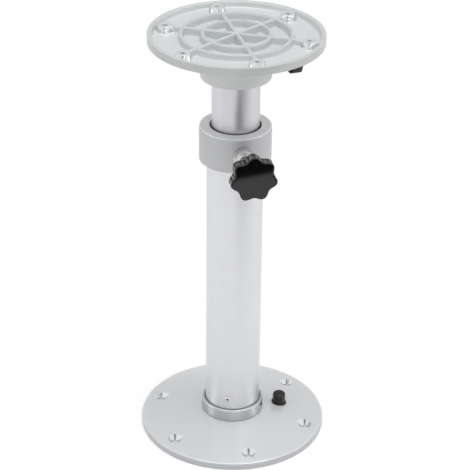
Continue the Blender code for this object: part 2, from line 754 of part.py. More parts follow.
def button_spring():
    bottom = GUIDE_SEAT + FIT_GAP + SPRING_WIRE / 2
    top = BUTTON_CEILING - FIT_GAP - SPRING_WIRE / 2
    count = SPRING_TURNS * SPRING_POINTS_PER_TURN + 1
    curve = bpy.data.curves.new("button_spring_line", "CURVE")
    curve.dimensions = "3D"
    curve.bevel_depth = SPRING_WIRE / 2
    curve.bevel_resolution = 1
    curve.use_fill_caps = True
    spline = curve.splines.new("POLY")
    spline.points.add(count - 1)
    for index, point in enumerate(spline.points):
        part = index / (count - 1)
        spot = around(SPRING_RADIUS, 2 * math.pi * SPRING_TURNS * part, bottom + (top - bottom) * part)
        point.co = (*spot, 1)
    guide = place(add_mesh_object("button_spring_curve", curve), around(BUTTON_CIRCLE, BUTTON_AZIMUTH))
    bpy.context.view_layer.update()
    return finish(welded("button_spring", guide), "bright steel")


def latch_bolt():
    tip_bottom = GROOVE_BOTTOM + FIT_GAP
    step = TUBE_RADIUS + BASE_RIB_WIDTH
    bolt = extruded(
        "latch_bolt",
        [
            (BOLT_TIP, tip_bottom),
            (step, tip_bottom),
            (step, BOLT_BOTTOM),
            (BOLT_END, BOLT_BOTTOM),
            (BOLT_END, BOLT_TOP),
            (BOLT_TIP + BOLT_NOSE, BOLT_TOP),
            (BOLT_TIP, BOLT_TOP - BOLT_NOSE),
        ],
        BOLT_WIDTH,
    )
    stand_outline(bolt, BUTTON_AZIMUTH)
    outline = blade_outline(BOLT_BOTTOM - BLADE_WIDTH, BOLT_TOP + BLADE_WIDTH, FIT_GAP * math.sqrt(2))
    window = extruded("bolt_window", outline, BLADE_THICKNESS + 2 * FIT_GAP)
    stand_outline(window, BUTTON_AZIMUTH, BUTTON_CIRCLE)
    cut(bolt, window)
    return finish(bolt, "white acetal")


def latch_cover():
    side = COVER_WIDTH / 2
    cover = box("latch_cover", (COVER_START, -side, COVER_LIFT), (COVER_START + COVER_LENGTH, side, COVER_TOP))
    place(cover, (0, 0, 0), (0, 0, BUTTON_AZIMUTH))
    blade_low = BLADE_FACE - BLADE_SLANT + BUTTON_CIRCLE
    hole_side = BLADE_THICKNESS / 2 + FIT_GAP
    hole = box(
        "blade_hole",
        (blade_low - BLADE_WIDTH - 2 * FIT_GAP, -hole_side, 0.0),
        (blade_low + COVER_THICKNESS, hole_side, COVER_TOP + COVER_LIFT),
    )
    cut(cover, place(hole, (0, 0, 0), (0, 0, BUTTON_AZIMUTH)))
    for turn in (-1, 1):
        radius = COVER_SCREW_RADIUS + FIT_GAP
        sink = turned(
            f"cover_sink_{turn}",
            [
                (0.0, COVER_TOP + COVER_LIFT),
                (radius, COVER_TOP + COVER_LIFT),
                (radius, COVER_LIFT + COVER_SCREW_RADIUS),
                (radius + COVER_SCREW_RADIUS, COVER_LIFT),
                (radius + COVER_SCREW_RADIUS, 0.0),
                (0.0, 0.0),
            ],
            steps=SCREW_STEPS,
            closed=False,
        )
        cut(cover, place(sink, cover_screw_place(turn)))
    return finish(cover, "satin aluminium")


def latch_cover_screw(index, side):
    name = f"latch_cover_screw_{index}"
    screw = turned(
        name,
        [
            (0.0, COVER_LIFT + COVER_SCREW_LENGTH),
            (COVER_SCREW_RADIUS, COVER_LIFT + COVER_SCREW_LENGTH),
            (COVER_SCREW_RADIUS, COVER_LIFT + COVER_SCREW_RADIUS),
            (2 * COVER_SCREW_RADIUS, COVER_LIFT),
            (0.0, COVER_LIFT),
        ],
        steps=SCREW_STEPS,
        closed=False,
    )
    place(screw, cover_screw_place(side))
    width = COVER_SCREW_RADIUS * RECESS_SHARE
    recess = cylinder(name + "_recess", width, 0.0, COVER_LIFT + COVER_SCREW_RADIUS, steps=RECESS_SIDES)
    cut(screw, place(recess, cover_screw_place(side)))
    return finish(screw, "bright steel")


def foot_plug():
    outer = TUBE_BORE_RADIUS - FIT_GAP
    flange = TUBE_RADIUS - FIT_GAP
    groove = TUBE_RADIUS - FIT_GAP - GROOVE_DEPTH
    bore = outer - PLUG_WALL
    plug = turned(
        "foot_plug",
        [
            (0.0, PLUG_BOTTOM + PLUG_FLOOR),
            (bore, PLUG_BOTTOM + PLUG_FLOOR),
            (bore, PLUG_TOP),
            (outer, PLUG_TOP),
            (outer, PLUG_SHOULDER),
            (flange, PLUG_SHOULDER),
            (flange, GROOVE_TOP),
            (groove, GROOVE_TOP),
            (groove, GROOVE_BOTTOM),
            (flange, GROOVE_BOTTOM),
            (flange, PLUG_BOTTOM),
            (0.0, PLUG_BOTTOM),
        ],
        closed=False,
    )
    for index in range(FOOT_SCREW_COUNT):
        hole = cylinder(f"plug_hole_{index}", FOOT_SCREW_RADIUS + FIT_GAP, bore / 2, TUBE_RADIUS, steps=SCREW_STEPS)
        cut(plug, aim_outwards(hole, foot_screw_azimuth(index), FOOT_SCREW_HEIGHT))
    return finish(plug, "turned aluminium")


def foot_screw_azimuth(index):
    return FOOT_SCREW_AZIMUTH + index * 2 * math.pi / FOOT_SCREW_COUNT


def foot_screw(index):
    seat = TUBE_RADIUS + FIT_GAP
    name = f"foot_screw_{index + 1}"
    screw = turned(
        name,
        [
            (0.0, seat + FOOT_SCREW_DOME),
            (FOOT_SCREW_HEAD / 2, seat + FOOT_SCREW_DOME),
            (FOOT_SCREW_HEAD, seat + FOOT_SCREW_RIM),
            (FOOT_SCREW_HEAD, seat),
            (FOOT_SCREW_RADIUS, seat),
            (FOOT_SCREW_RADIUS, seat - FOOT_SCREW_LENGTH),
            (0.0, seat - FOOT_SCREW_LENGTH),
        ],
        steps=SCREW_STEPS,
        closed=False,
    )
    aim_outwards(screw, foot_screw_azimuth(index), FOOT_SCREW_HEIGHT)
    depth = seat + FOOT_SCREW_DOME - FOOT_SCREW_RADIUS / 2
    width = FOOT_SCREW_RADIUS * RECESS_SHARE
    recess = cylinder(name + "_recess", width, depth, seat + FOOT_SCREW_RADIUS, steps=RECESS_SIDES)
    cut(screw, aim_outwards(recess, foot_screw_azimuth(index), FOOT_SCREW_HEIGHT))
    return finish(screw, "bright steel")


def pad_cutter(name):
    cutter = cylinder(name, PAD_RADIUS + FIT_GAP, INNER_RADIUS / 2, COLLAR_RADIUS + CUT_REACH)
    return aim_outwards(cutter, KNOB_AZIMUTH, KNOB_HEIGHT)


def lower_tube():
    tube = turned(
        "lower_tube",
        [
            (TUBE_BORE_RADIUS, TUBE_TOP),
            (TUBE_RADIUS, TUBE_TOP),
            (TUBE_RADIUS, TUBE_BOTTOM),
            (TUBE_BORE_RADIUS, TUBE_BOTTOM),
        ],
    )
    for index in range(FOOT_SCREW_COUNT):
        radius = FOOT_SCREW_RADIUS + FIT_GAP
        hole = cylinder(f"tube_hole_{index}", radius, TUBE_RADIUS / 2, TUBE_RADIUS + CUT_REACH, steps=SCREW_STEPS)
        cut(tube, aim_outwards(hole, foot_screw_azimuth(index), FOOT_SCREW_HEIGHT))
    cut(tube, pad_cutter("tube_pad_hole"))
    return finish(tube, "satin aluminium")


def clamp_collar():
    collar = turned(
        "clamp_collar",
        [
            (TUBE_BORE_RADIUS, COLLAR_TOP),
            (COLLAR_RADIUS, COLLAR_TOP, COLLAR_ROUND),
            (COLLAR_RADIUS, COLLAR_BOTTOM, COLLAR_CHAMFER),
            (TUBE_RADIUS + FIT_GAP, COLLAR_BOTTOM),
            (TUBE_RADIUS + FIT_GAP, TUBE_TOP + FIT_GAP),
            (TUBE_BORE_RADIUS, TUBE_TOP + FIT_GAP),
        ],
    )
    boss = cylinder("collar_boss", COLLAR_BOSS_RADIUS, TUBE_RADIUS + COLLAR_WALL / 2, COLLAR_BOSS_FACE)
    join(collar, aim_outwards(boss, KNOB_AZIMUTH, KNOB_HEIGHT))
    outside = COLLAR_BOSS_FACE + CUT_REACH
    bore = cylinder("insert_bore", INSERT_RADIUS + FIT_GAP, TUBE_BORE_RADIUS, outside)
    cut(collar, aim_outwards(bore, KNOB_AZIMUTH, KNOB_HEIGHT))
    for index, azimuth in enumerate(COLLAR_SCREW_AZIMUTHS):
        radius = COLLAR_SCREW_RADIUS + FIT_GAP
        hole = cylinder(f"collar_hole_{index}", radius, TUBE_BORE_RADIUS, outside, steps=SCREW_STEPS)
        cut(collar, aim_outwards(hole, azimuth, COLLAR_SCREW_HEIGHT))
    return finish(collar, "cast paint")


def collar_grub_screw(index):
    start = TUBE_RADIUS + FIT_GAP
    name = f"collar_grub_screw_{index + 1}"
    azimuth = COLLAR_SCREW_AZIMUTHS[index]
    return grub_screw(name, COLLAR_SCREW_RADIUS, start, start + COLLAR_SCREW_LENGTH, azimuth, COLLAR_SCREW_HEIGHT)


def collar_bush():
    bush = turned(
        "collar_bush",
        [
            (BUSH_BORE_RADIUS, BUSH_TOP),
            (BUSH_RADIUS, BUSH_TOP),
            (BUSH_RADIUS, BUSH_TOP - BUSH_LENGTH),
            (BUSH_BORE_RADIUS, BUSH_TOP - BUSH_LENGTH),
        ],
    )
    cut(bush, pad_cutter("bush_pad_hole"))
    return finish(bush, "black nylon")


# Distances along the knob's axis, from the middle of the leg outwards
PAD_END = BUSH_BORE_RADIUS + PAD_LENGTH
STUD_SHOULDER = PAD_END + FIT_GAP
STUD_START = STUD_SHOULDER - STUD_TIP_LENGTH
INSERT_SEAT = COLLAR_BOSS_FACE + FIT_GAP
FLANGE_FACE = INSERT_SEAT + INSERT_FLANGE_HEIGHT
INSERT_START = TUBE_RADIUS + 4 * FIT_GAP
INSERT_STEP = PAD_END + CLAMP_TRAVEL + 2 * FIT_GAP
KNOB_FACE = COLLAR_RADIUS + KNOB_REACH
KNOB_BACK = KNOB_FACE - KNOB_THICKNESS
STEM_TIP = KNOB_BACK - KNOB_STEM_LENGTH
SLEEVE_END = STEM_TIP - CLAMP_TRAVEL - 2 * FIT_GAP
STUD_END = STEM_TIP + STUD_IN_KNOB


def clamp_boss():
    boss = turned(
        "clamp_boss",
        [
            (STUD_RADIUS + FIT_GAP, SLEEVE_END),
            (INSERT_SLEEVE_RADIUS - INSERT_CHAMFER, SLEEVE_END),
            (INSERT_SLEEVE_RADIUS, SLEEVE_END - INSERT_CHAMFER),
            (INSERT_SLEEVE_RADIUS, FLANGE_FACE),
            (INSERT_FLANGE_RADIUS - INSERT_CHAMFER, FLANGE_FACE),
            (INSERT_FLANGE_RADIUS, FLANGE_FACE - INSERT_CHAMFER),
            (INSERT_FLANGE_RADIUS, INSERT_SEAT),
            (INSERT_RADIUS, INSERT_SEAT),
            (INSERT_RADIUS, INSERT_START),
            (PAD_RADIUS + FIT_GAP, INSERT_START),
            (PAD_RADIUS + FIT_GAP, INSERT_STEP),
            (STUD_RADIUS + FIT_GAP, INSERT_STEP),
        ],
        steps=SMALL_STEPS,
    )
    aim_outwards(boss, KNOB_AZIMUTH, KNOB_HEIGHT)
    shaft = cylinder("tube_shape", TUBE_RADIUS + FIT_GAP, COLLAR_BOTTOM, COLLAR_TOP, steps=TUBE_STEPS)
    cut(boss, shaft)
    return finish(boss, "bright steel")


def pressure_pad():
    pad = cylinder("pressure_pad", PAD_RADIUS, BUSH_BORE_RADIUS - PAD_FLOOR, PAD_END)
    hole = cylinder("pad_hole", STUD_TIP_RADIUS + FIT_GAP, STUD_START - FIT_GAP, PAD_END + PAD_LENGTH, steps=SCREW_STEPS)
    aim_outwards(pad, KNOB_AZIMUTH, KNOB_HEIGHT)
    aim_outwards(hole, KNOB_AZIMUTH, KNOB_HEIGHT)
    tube = cylinder("tube_face", BUSH_BORE_RADIUS, COLLAR_BOTTOM, COLLAR_TOP, steps=TUBE_STEPS)
    cut(pad, hole, tube)
    return finish(pad, "white acetal")


def clamp_stud():
    stud = turned(
        "clamp_stud",
        [
            (0.0, STUD_END),
            (STUD_RADIUS, STUD_END),
            (STUD_RADIUS, STUD_SHOULDER),
            (STUD_TIP_RADIUS, STUD_SHOULDER),
            (STUD_TIP_RADIUS, STUD_START),
            (0.0, STUD_START),
        ],
        steps=SMALL_STEPS,
        closed=False,
    )
    aim_outwards(stud, KNOB_AZIMUTH, KNOB_HEIGHT)
    return finish(stud, "bright steel")


def knob_outline():
    count = KNOB_LOBES * KNOB_POINTS_PER_LOBE
    points = []
    for index in range(count):
        angle = 2 * math.pi * index / count
        lobe = (1 + math.cos(KNOB_LOBES * angle)) / 2
        radius = KNOB_VALLEY_RADIUS + (KNOB_TIP_RADIUS - KNOB_VALLEY_RADIUS) * lobe
        points.append(around(radius, angle)[:2])
    return points


def clamp_knob():
    knob = extruded("clamp_knob", knob_outline(), KNOB_THICKNESS, KNOB_ROUND)
    first_lobe = KNOB_TURN + math.pi / 2
    middle = around(KNOB_BACK + KNOB_THICKNESS / 2, KNOB_AZIMUTH, KNOB_HEIGHT)
    turn = Euler((0, math.pi / 2, KNOB_AZIMUTH)).to_matrix() @ Euler((0, 0, first_lobe)).to_matrix()
    knob.location = middle
    knob.rotation_euler = turn.to_euler()
    stem = turned(
        "knob_stem",
        [
            (0.0, KNOB_BACK + KNOB_THICKNESS / 2),
            (KNOB_STEM_RADIUS, KNOB_BACK + KNOB_THICKNESS / 2),
            (KNOB_STEM_RADIUS, KNOB_BACK),
            (KNOB_STEM_TIP_RADIUS, STEM_TIP),
            (0.0, STEM_TIP),
        ],
        steps=SMALL_STEPS,
        closed=False,
    )
    bore = cylinder("knob_bore", STUD_RADIUS + FIT_GAP, COLLAR_RADIUS, STUD_END + FIT_GAP)
    join(knob, aim_outwards(stem, KNOB_AZIMUTH, KNOB_HEIGHT))
    cut(knob, aim_outwards(bore, KNOB_AZIMUTH, KNOB_HEIGHT))
    return finish(knob, "black moulding")


def inner_tube():
    tube = turned(
        "inner_tube",
        [
            (INNER_BORE_RADIUS, INNER_TOP),
            (INNER_RADIUS, INNER_TOP),
            (INNER_RADIUS, INNER_BOTTOM),
            (INNER_BORE_RADIUS, INNER_BOTTOM),
        ],
    )
    cut(tube, pin_cutter("tube_pin_hole"))
    return finish(tube, "satin aluminium")


def pin_cutter(name):
    cutter = cylinder(name, PIN_RADIUS + FIT_GAP, -HUB_RADIUS, HUB_RADIUS, steps=SCREW_STEPS)
    return aim_outwards(cutter, 0.0, PIN_HEIGHT)


def inner_guide():
    flange_bottom = INNER_BOTTOM - FIT_GAP - GUIDE_FLANGE
    spigot = INNER_BORE_RADIUS - FIT_GAP
    guide = turned(
        "inner_guide",
        [
            (BUSH_BORE_RADIUS, INNER_BOTTOM + GUIDE_SLEEVE),
            (BUSH_RADIUS, INNER_BOTTOM + GUIDE_SLEEVE),
            (BUSH_RADIUS, flange_bottom),
            (spigot - GUIDE_SPIGOT_WALL, flange_bottom),
            (spigot - GUIDE_SPIGOT_WALL, INNER_BOTTOM + GUIDE_SPIGOT),
            (spigot, INNER_BOTTOM + GUIDE_SPIGOT),
            (spigot, INNER_BOTTOM - FIT_GAP),
            (BUSH_BORE_RADIUS, INNER_BOTTOM - FIT_GAP),
        ],
    )
    return finish(guide, "black nylon")


def top_spindle():
    plug = INNER_BORE_RADIUS - FIT_GAP
    spindle = turned(
        "top_spindle",
        [
            (SPINDLE_BORE, SPINDLE_TOP),
            (SPINDLE_HEAD_RADIUS, SPINDLE_TOP),
            (SPINDLE_HEAD_RADIUS, SPINDLE_GROOVE_TOP),
            (SPINDLE_GROOVE_RADIUS, SPINDLE_GROOVE_TOP),
            (SPINDLE_GROOVE_RADIUS, SPINDLE_GROOVE_BOTTOM),
            (SPINDLE_HEAD_RADIUS, SPINDLE_GROOVE_BOTTOM),
            (SPINDLE_HEAD_RADIUS, SPINDLE_SHOULDER),
            (plug, SPINDLE_SHOULDER),
            (plug, SPINDLE_SHOULDER - SPINDLE_PLUG),
            (SPINDLE_BORE, SPINDLE_SHOULDER - SPINDLE_PLUG),
        ],
    )
    cut(spindle, pin_cutter("spindle_pin_hole"))
    return finish(spindle, "turned aluminium")


def spindle_pin():
    reach = INNER_RADIUS - FIT_GAP
    pin = cylinder("spindle_pin", PIN_RADIUS, -reach, reach, steps=SCREW_STEPS)
    return finish(aim_outwards(pin, 0.0, PIN_HEIGHT), "bright steel")


def swivel_bush():
    bush = turned(
        "swivel_bush",
        [
            (BUSH_BORE_RADIUS, BUSH_SEAT_HEIGHT - FIT_GAP),
            (SWIVEL_BUSH_RADIUS, BUSH_SEAT_HEIGHT - FIT_GAP),
            (SWIVEL_BUSH_RADIUS, HUB_BOTTOM + FIT_GAP),
            (BUSH_BORE_RADIUS, HUB_BOTTOM + FIT_GAP),
        ],
    )
    return finish(bush, "black nylon")


def thrust_washer():
    washer = turned(
        "thrust_washer",
        [
            (SPINDLE_BORE, WASHER_TOP),
            (SPINDLE_HEAD_RADIUS, WASHER_TOP),
            (SPINDLE_HEAD_RADIUS, WASHER_TOP - WASHER_THICKNESS),
            (SPINDLE_BORE, WASHER_TOP - WASHER_THICKNESS),
        ],
    )
    return finish(washer, "white acetal")


def retaining_screw(index):
    start = SPINDLE_GROOVE_RADIUS + 2 * FIT_GAP
    end = start + RETAINER_TIP_LENGTH + RETAINER_LENGTH
    return grub_screw(
        f"retaining_screw_{index + 1}",
        RETAINER_RADIUS,
        start,
        end,
        RETAINER_AZIMUTHS[index],
        RETAINER_HEIGHT,
        RETAINER_TIP_RADIUS,
        RETAINER_TIP_LENGTH,
    )


PIVOT = around(LEVER_PIVOT_CIRCLE, LEVER_AZIMUTH)
PIVOT_BOSS_BOTTOM = LEVER_TOP + PIVOT_CLEARANCE
RIB_BOTTOM = PLATE_TOP - OUTER_FLOOR_DEPTH - RIB_ROOT
CENTRE_RIB_BOTTOM = PLATE_TOP - CENTRE_FLOOR_DEPTH - CENTRE_FLOOR_WALL / 2


# The ribs are cast a little proud and the whole top is then faced flat
def ring_rib(radius, floor_inside, floor_outside):
    half = RING_RIB_WIDTH / 2
    return [
        (radius - half - RIB_DRAFT, floor_inside),
        (radius - half, PLATE_TOP + PLATE_FACING),
        (radius + half, PLATE_TOP + PLATE_FACING),
        (radius + half + RIB_DRAFT, floor_outside),
    ]


def plate_disc():
    centre_floor = PLATE_TOP - CENTRE_FLOOR_DEPTH
    middle_floor = PLATE_TOP - MIDDLE_FLOOR_DEPTH
    outer_floor = PLATE_TOP - OUTER_FLOOR_DEPTH
    lip = PLATE_RADIUS - PLATE_LIP_WIDTH
    under_outer = OUTER_RING_RADIUS + RING_RIB_WIDTH
    corners = [(0.0, centre_floor), (CENTRE_FLOOR_RADIUS, centre_floor)]
    corners.append((CENTRE_FLOOR_RADIUS + RIB_DRAFT, middle_floor))
    corners += ring_rib(INNER_RING_RADIUS, middle_floor, middle_floor)
    corners += ring_rib(OUTER_RING_RADIUS, middle_floor, outer_floor)
    corners += [
        (lip - PLATE_LIP_DRAFT, outer_floor),
        (lip, PLATE_TOP + PLATE_FACING),
        (PLATE_RADIUS - PLATE_EDGE_ROUND - PLATE_FACING, PLATE_TOP + PLATE_FACING),
        (PLATE_RADIUS, PLATE_TOP - PLATE_EDGE_ROUND),
        (PLATE_RADIUS, PLATE_RIM_BOTTOM),
        (under_outer, PLATE_RIM_BOTTOM),
        (OUTER_RING_RADIUS - RING_RIB_WIDTH, PLATE_UNDERSIDE),
        (HUB_RADIUS, PLATE_UNDERSIDE, HUB_FILLET),
        (HUB_RADIUS, HUB_BOTTOM, HUB_ROUND),
        (SWIVEL_BUSH_RADIUS + FIT_GAP, HUB_BOTTOM),
        (SWIVEL_BUSH_RADIUS + FIT_GAP, BUSH_SEAT_HEIGHT),
        (SWIVEL_BORE_RADIUS, BUSH_SEAT_HEIGHT),
        (SWIVEL_BORE_RADIUS, HUB_BORE_TOP),
        (0.0, HUB_BORE_TOP),
    ]
    return turned("top_plate", corners, steps=DISC_STEPS, closed=False)


def plate_ribs():
    shapes = []
    half = RIB_WIDTH / 2
    for index in range(RIB_COUNT):
        azimuth = PLATE_BOSS_AZIMUTH + index * math.pi / RIB_COUNT
        reach = PLATE_BOSS_CIRCLE + PLATE_HOLE_RADIUS / 2
        top = PLATE_TOP + PLATE_FACING * (2 + index)
        rib = box(f"plate_rib_{index}", (-reach, -half, RIB_BOTTOM), (reach, half, top))
        shapes.append(place(rib, (0, 0, 0), (0, 0, azimuth)))
        inner = CENTRE_FLOOR_RADIUS + CENTRE_FLOOR_WALL
        deep = CENTRE_RIB_BOTTOM - FIT_GAP * index
        core = box(f"centre_rib_{index}", (-inner, -half, deep), (inner, half, top - PLATE_FACING / 2))
        shapes.append(place(core, (0, 0, 0), (0, 0, azimuth)))
    return shapes


def plate_boss_places():
    count = 2 * RIB_COUNT
    return [around(PLATE_BOSS_CIRCLE, PLATE_BOSS_AZIMUTH + index * 2 * math.pi / count) for index in range(count)]


def top_plate():
    plate = plate_disc()
    join(plate, *plate_ribs())
    for index, spot in enumerate(plate_boss_places()):
        foot_radius = PLATE_BOSS_RADIUS + PLATE_BOSS_DRAFT
        boss_bottom = RIB_BOTTOM - FIT_GAP
        boss_top = PLATE_TOP + PLATE_FACING / 2
        boss = cylinder(f"plate_boss_{index}", foot_radius, boss_bottom, boss_top, PLATE_BOSS_RADIUS, BOSS_STEPS)
        join(plate, place(boss, spot))
    pivot_top = PLATE_UNDERSIDE + FLOOR_WALL / 2
    pivot_boss = cylinder("pivot_boss", PIVOT_BOSS_RADIUS, PIVOT_BOSS_BOTTOM, pivot_top)
    join(plate, place(pivot_boss, PIVOT))
    facing = cylinder("facing", PLATE_RADIUS + CUT_REACH, PLATE_TOP, PLATE_TOP + PLATE_RIM_HEIGHT)
    cut(plate, facing)
    for index, spot in enumerate(plate_boss_places()):
        hole = cylinder(
            f"plate_hole_{index}",
            PLATE_HOLE_RADIUS,
            PLATE_RIM_BOTTOM - FLOOR_WALL,
            PLATE_TOP + FLOOR_WALL,
            steps=SCREW_STEPS,
        )
        cut(plate, place(hole, spot))
    thread_top = PIVOT_BOSS_BOTTOM + PIVOT_THREAD_LENGTH + FIT_GAP
    thread = cylinder(
        "pivot_thread", PIVOT_THREAD_RADIUS + FIT_GAP, LEVER_BOTTOM, thread_top, steps=SCREW_STEPS
    )
    cut(plate, place(thread, PIVOT))
    shoe_end = HUB_RADIUS + HUB_FILLET
    shoe_hole = cylinder("shoe_hole", SHOE_RADIUS + FIT_GAP, SPINDLE_BORE, shoe_end)
    cut(plate, aim_outwards(shoe_hole, LEVER_AZIMUTH, SHOE_HEIGHT))
    for index, azimuth in enumerate(RETAINER_AZIMUTHS):
        radius = RETAINER_RADIUS + FIT_GAP
        hole = cylinder(f"retainer_hole_{index}", radius, SPINDLE_BORE, HUB_RADIUS + CUT_REACH, steps=SCREW_STEPS)
        cut(plate, aim_outwards(hole, azimuth, RETAINER_HEIGHT))
    return finish(plate, "cast paint")


# The cam pushes the shoe with its far side, at the angle that faces the leg
SHOE_ANGLE = LEVER_AZIMUTH + math.pi - LEVER_DIRECTION
CAM_REACH = CAM_OFFSET * math.cos(CAM_ANGLE - SHOE_ANGLE) + CAM_RADIUS
SHOE_END = LEVER_PIVOT_CIRCLE - CAM_REACH - FIT_GAP


def brake_shoe():
    start = SPINDLE_HEAD_RADIUS + FIT_GAP
    shoe = cylinder("brake_shoe", SHOE_RADIUS, start, SHOE_END)
    return finish(aim_outwards(shoe, LEVER_AZIMUTH, SHOE_HEIGHT), "white acetal")


# The arm's upper side leaves from the top of the cam, and its lower side cuts the cam's circle
def lever_outline():
    centre = Vector((CAM_OFFSET * math.cos(CAM_ANGLE), CAM_OFFSET * math.sin(CAM_ANGLE)))
    side = LEVER_ARM_WIDTH / 2
    points = []
    first = math.pi / 2
    last = 2 * math.pi - math.asin((side + centre.y) / CAM_RADIUS)
    for index in range(SMALL_STEPS + 1):
        angle = first + (last - first) * index / SMALL_STEPS
        points.append(centre + CAM_RADIUS * Vector((math.cos(angle), math.sin(angle))))
    corner = side / 2
    end = LEVER_ARM_LENGTH
    points += [Vector((end - corner, -side)), Vector((end, -side + corner))]
    points += [Vector((end, side - corner)), Vector((end - corner, side))]
    return points


def lever_arm():
    arm = extruded("lever_arm", lever_outline(), LEVER_THICKNESS)
    place(arm, PIVOT + Vector((0, 0, SHOE_HEIGHT)), (0, 0, LEVER_DIRECTION))
    hole = cylinder(
        "pivot_hole",
        PIVOT_SHOULDER_RADIUS + FIT_GAP,
        LEVER_BOTTOM - LEVER_THICKNESS,
        LEVER_TOP + LEVER_THICKNESS,
    )
    cut(arm, place(hole, PIVOT))
    return finish(arm, "bright steel")


def lever_pivot_screw():
    shoulder_top = PIVOT_BOSS_BOTTOM - FIT_GAP
    head_top = LEVER_BOTTOM - FIT_GAP
    screw = turned(
        "lever_pivot_screw",
        [
            (0.0, PIVOT_BOSS_BOTTOM + PIVOT_THREAD_LENGTH),
            (PIVOT_THREAD_RADIUS, PIVOT_BOSS_BOTTOM + PIVOT_THREAD_LENGTH),
            (PIVOT_THREAD_RADIUS, shoulder_top),
            (PIVOT_SHOULDER_RADIUS, shoulder_top),
            (PIVOT_SHOULDER_RADIUS, head_top),
            (PIVOT_HEAD_RADIUS, head_top),
            (PIVOT_HEAD_RADIUS, head_top - PIVOT_HEAD_HEIGHT, PIVOT_HEAD_ROUND),
            (0.0, head_top - PIVOT_HEAD_HEIGHT),
        ],
        steps=SMALL_STEPS,
        closed=False,
    )
    place(screw, PIVOT)
    recess = cylinder(
        "pivot_recess",
        PIVOT_THREAD_RADIUS,
        head_top - 2 * PIVOT_HEAD_HEIGHT,
        head_top - PIVOT_HEAD_HEIGHT / 2,
        steps=RECESS_SIDES,
    )
    cut(screw, place(recess, PIVOT))
    return finish(screw, "bright steel")


def lever_grip():
    bottom = LEVER_BOTTOM - GRIP_BELOW_ARM
    top = LEVER_TOP + GRIP_ABOVE_ARM
    outline = [
        (GRIP_BOTTOM_WIDTH / 2, bottom),
        (GRIP_TOP_WIDTH / 2, top),
        (-GRIP_TOP_WIDTH / 2, top),
        (-GRIP_BOTTOM_WIDTH / 2, bottom),
    ]
    grip = extruded("lever_grip", outline, GRIP_LENGTH, GRIP_ROUND)
    turn = Euler((math.pi / 2, 0, LEVER_DIRECTION + math.pi / 2))
    place(grip, PIVOT + around(GRIP_START + GRIP_LENGTH / 2, LEVER_DIRECTION), turn)
    side = LEVER_ARM_WIDTH / 2 + FIT_GAP
    pocket = box(
        "arm_pocket",
        (GRIP_START - GRIP_ROUND, -side, LEVER_BOTTOM - FIT_GAP),
        (LEVER_ARM_LENGTH + FIT_GAP, side, LEVER_TOP + FIT_GAP),
    )
    cut(grip, place(pocket, PIVOT, (0, 0, LEVER_DIRECTION)))
    return finish(grip, "black moulding")


def build():
    base_plate()
    socket_ring()
    ring_grub_screw()
    button_guide()
    release_button()
    button_spring()
    latch_bolt()
    latch_cover()
    for index, side in enumerate((-1, 1)):
        latch_cover_screw(index + 1, side)
    foot_plug()
    for index in range(FOOT_SCREW_COUNT):
        foot_screw(index)
    lower_tube()
    clamp_collar()
    for index in range(len(COLLAR_SCREW_AZIMUTHS)):
        collar_grub_screw(index)
    collar_bush()
    clamp_boss()
    pressure_pad()
    clamp_stud()
    clamp_knob()
    inner_tube()
    inner_guide()
    top_spindle()
    spindle_pin()
    swivel_bush()
    thrust_washer()
    for index in range(len(RETAINER_AZIMUTHS)):
        retaining_screw(index)
    top_plate()
    brake_shoe()
    lever_arm()
    lever_grip()
    lever_pivot_screw()


build()
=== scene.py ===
import math
from types import SimpleNamespace as Sizes

import bmesh
import bpy
import numpy as np
from mathutils import Matrix, Vector


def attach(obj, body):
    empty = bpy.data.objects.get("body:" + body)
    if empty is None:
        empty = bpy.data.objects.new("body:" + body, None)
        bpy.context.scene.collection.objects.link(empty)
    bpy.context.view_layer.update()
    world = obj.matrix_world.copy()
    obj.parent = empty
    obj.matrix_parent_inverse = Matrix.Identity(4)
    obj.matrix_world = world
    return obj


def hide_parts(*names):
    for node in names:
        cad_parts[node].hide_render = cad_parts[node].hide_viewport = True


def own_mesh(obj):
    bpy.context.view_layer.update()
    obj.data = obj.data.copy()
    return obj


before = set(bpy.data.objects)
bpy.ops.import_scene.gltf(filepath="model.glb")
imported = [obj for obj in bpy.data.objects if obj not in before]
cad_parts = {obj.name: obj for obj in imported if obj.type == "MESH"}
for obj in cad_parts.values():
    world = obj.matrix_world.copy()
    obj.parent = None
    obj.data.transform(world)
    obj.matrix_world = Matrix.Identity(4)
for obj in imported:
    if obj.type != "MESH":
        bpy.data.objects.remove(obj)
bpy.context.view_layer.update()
print("frame loaded:", len(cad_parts), "nodes")

mm = 0.001  # sizes below are in millimetres
fullTurn = 2 * math.pi
up = np.array([0.0, 0.0, 1.0])
tiny = 1e-9  # keeps a divisor off zero
samePoint = 1e-5  # closer points of a profile become one


# The photograph's camera, fitted to the ellipses and the tube edges; its angles are in radians
cameraLook = Sizes(
    place=(0.0, -1.9545, 1.3446), pitchDown=0.50111, yaw=0.00047, roll=0.0121,
    focalPixels=1782.236, imagePixels=470, sensor=36.0, clipEnd=50.0,
)


def addCamera(look):
    data = bpy.data.cameras.new("photoCamera")
    data.sensor_width = look.sensor
    data.lens = look.focalPixels / look.imagePixels * look.sensor
    data.clip_end = look.clipEnd
    camera = bpy.data.objects.new("photoCamera", data)
    bpy.context.scene.collection.objects.link(camera)
    tilt = Matrix.Rotation(math.pi / 2 - look.pitchDown, 4, "X")
    aim = Matrix.Rotation(-look.yaw, 4, "Z") @ tilt @ Matrix.Rotation(look.roll, 4, "Z")
    camera.rotation_euler = aim.to_euler()
    camera.location = look.place
    bpy.context.scene.camera = camera


addCamera(cameraLook)
print("camera set")


# Shapes: each is (points, faces), points in millimetres. A profile's corner is (across, up) or
# (across, up, rounding), and a bore is (radius, start, end) with its number of sides where it matters

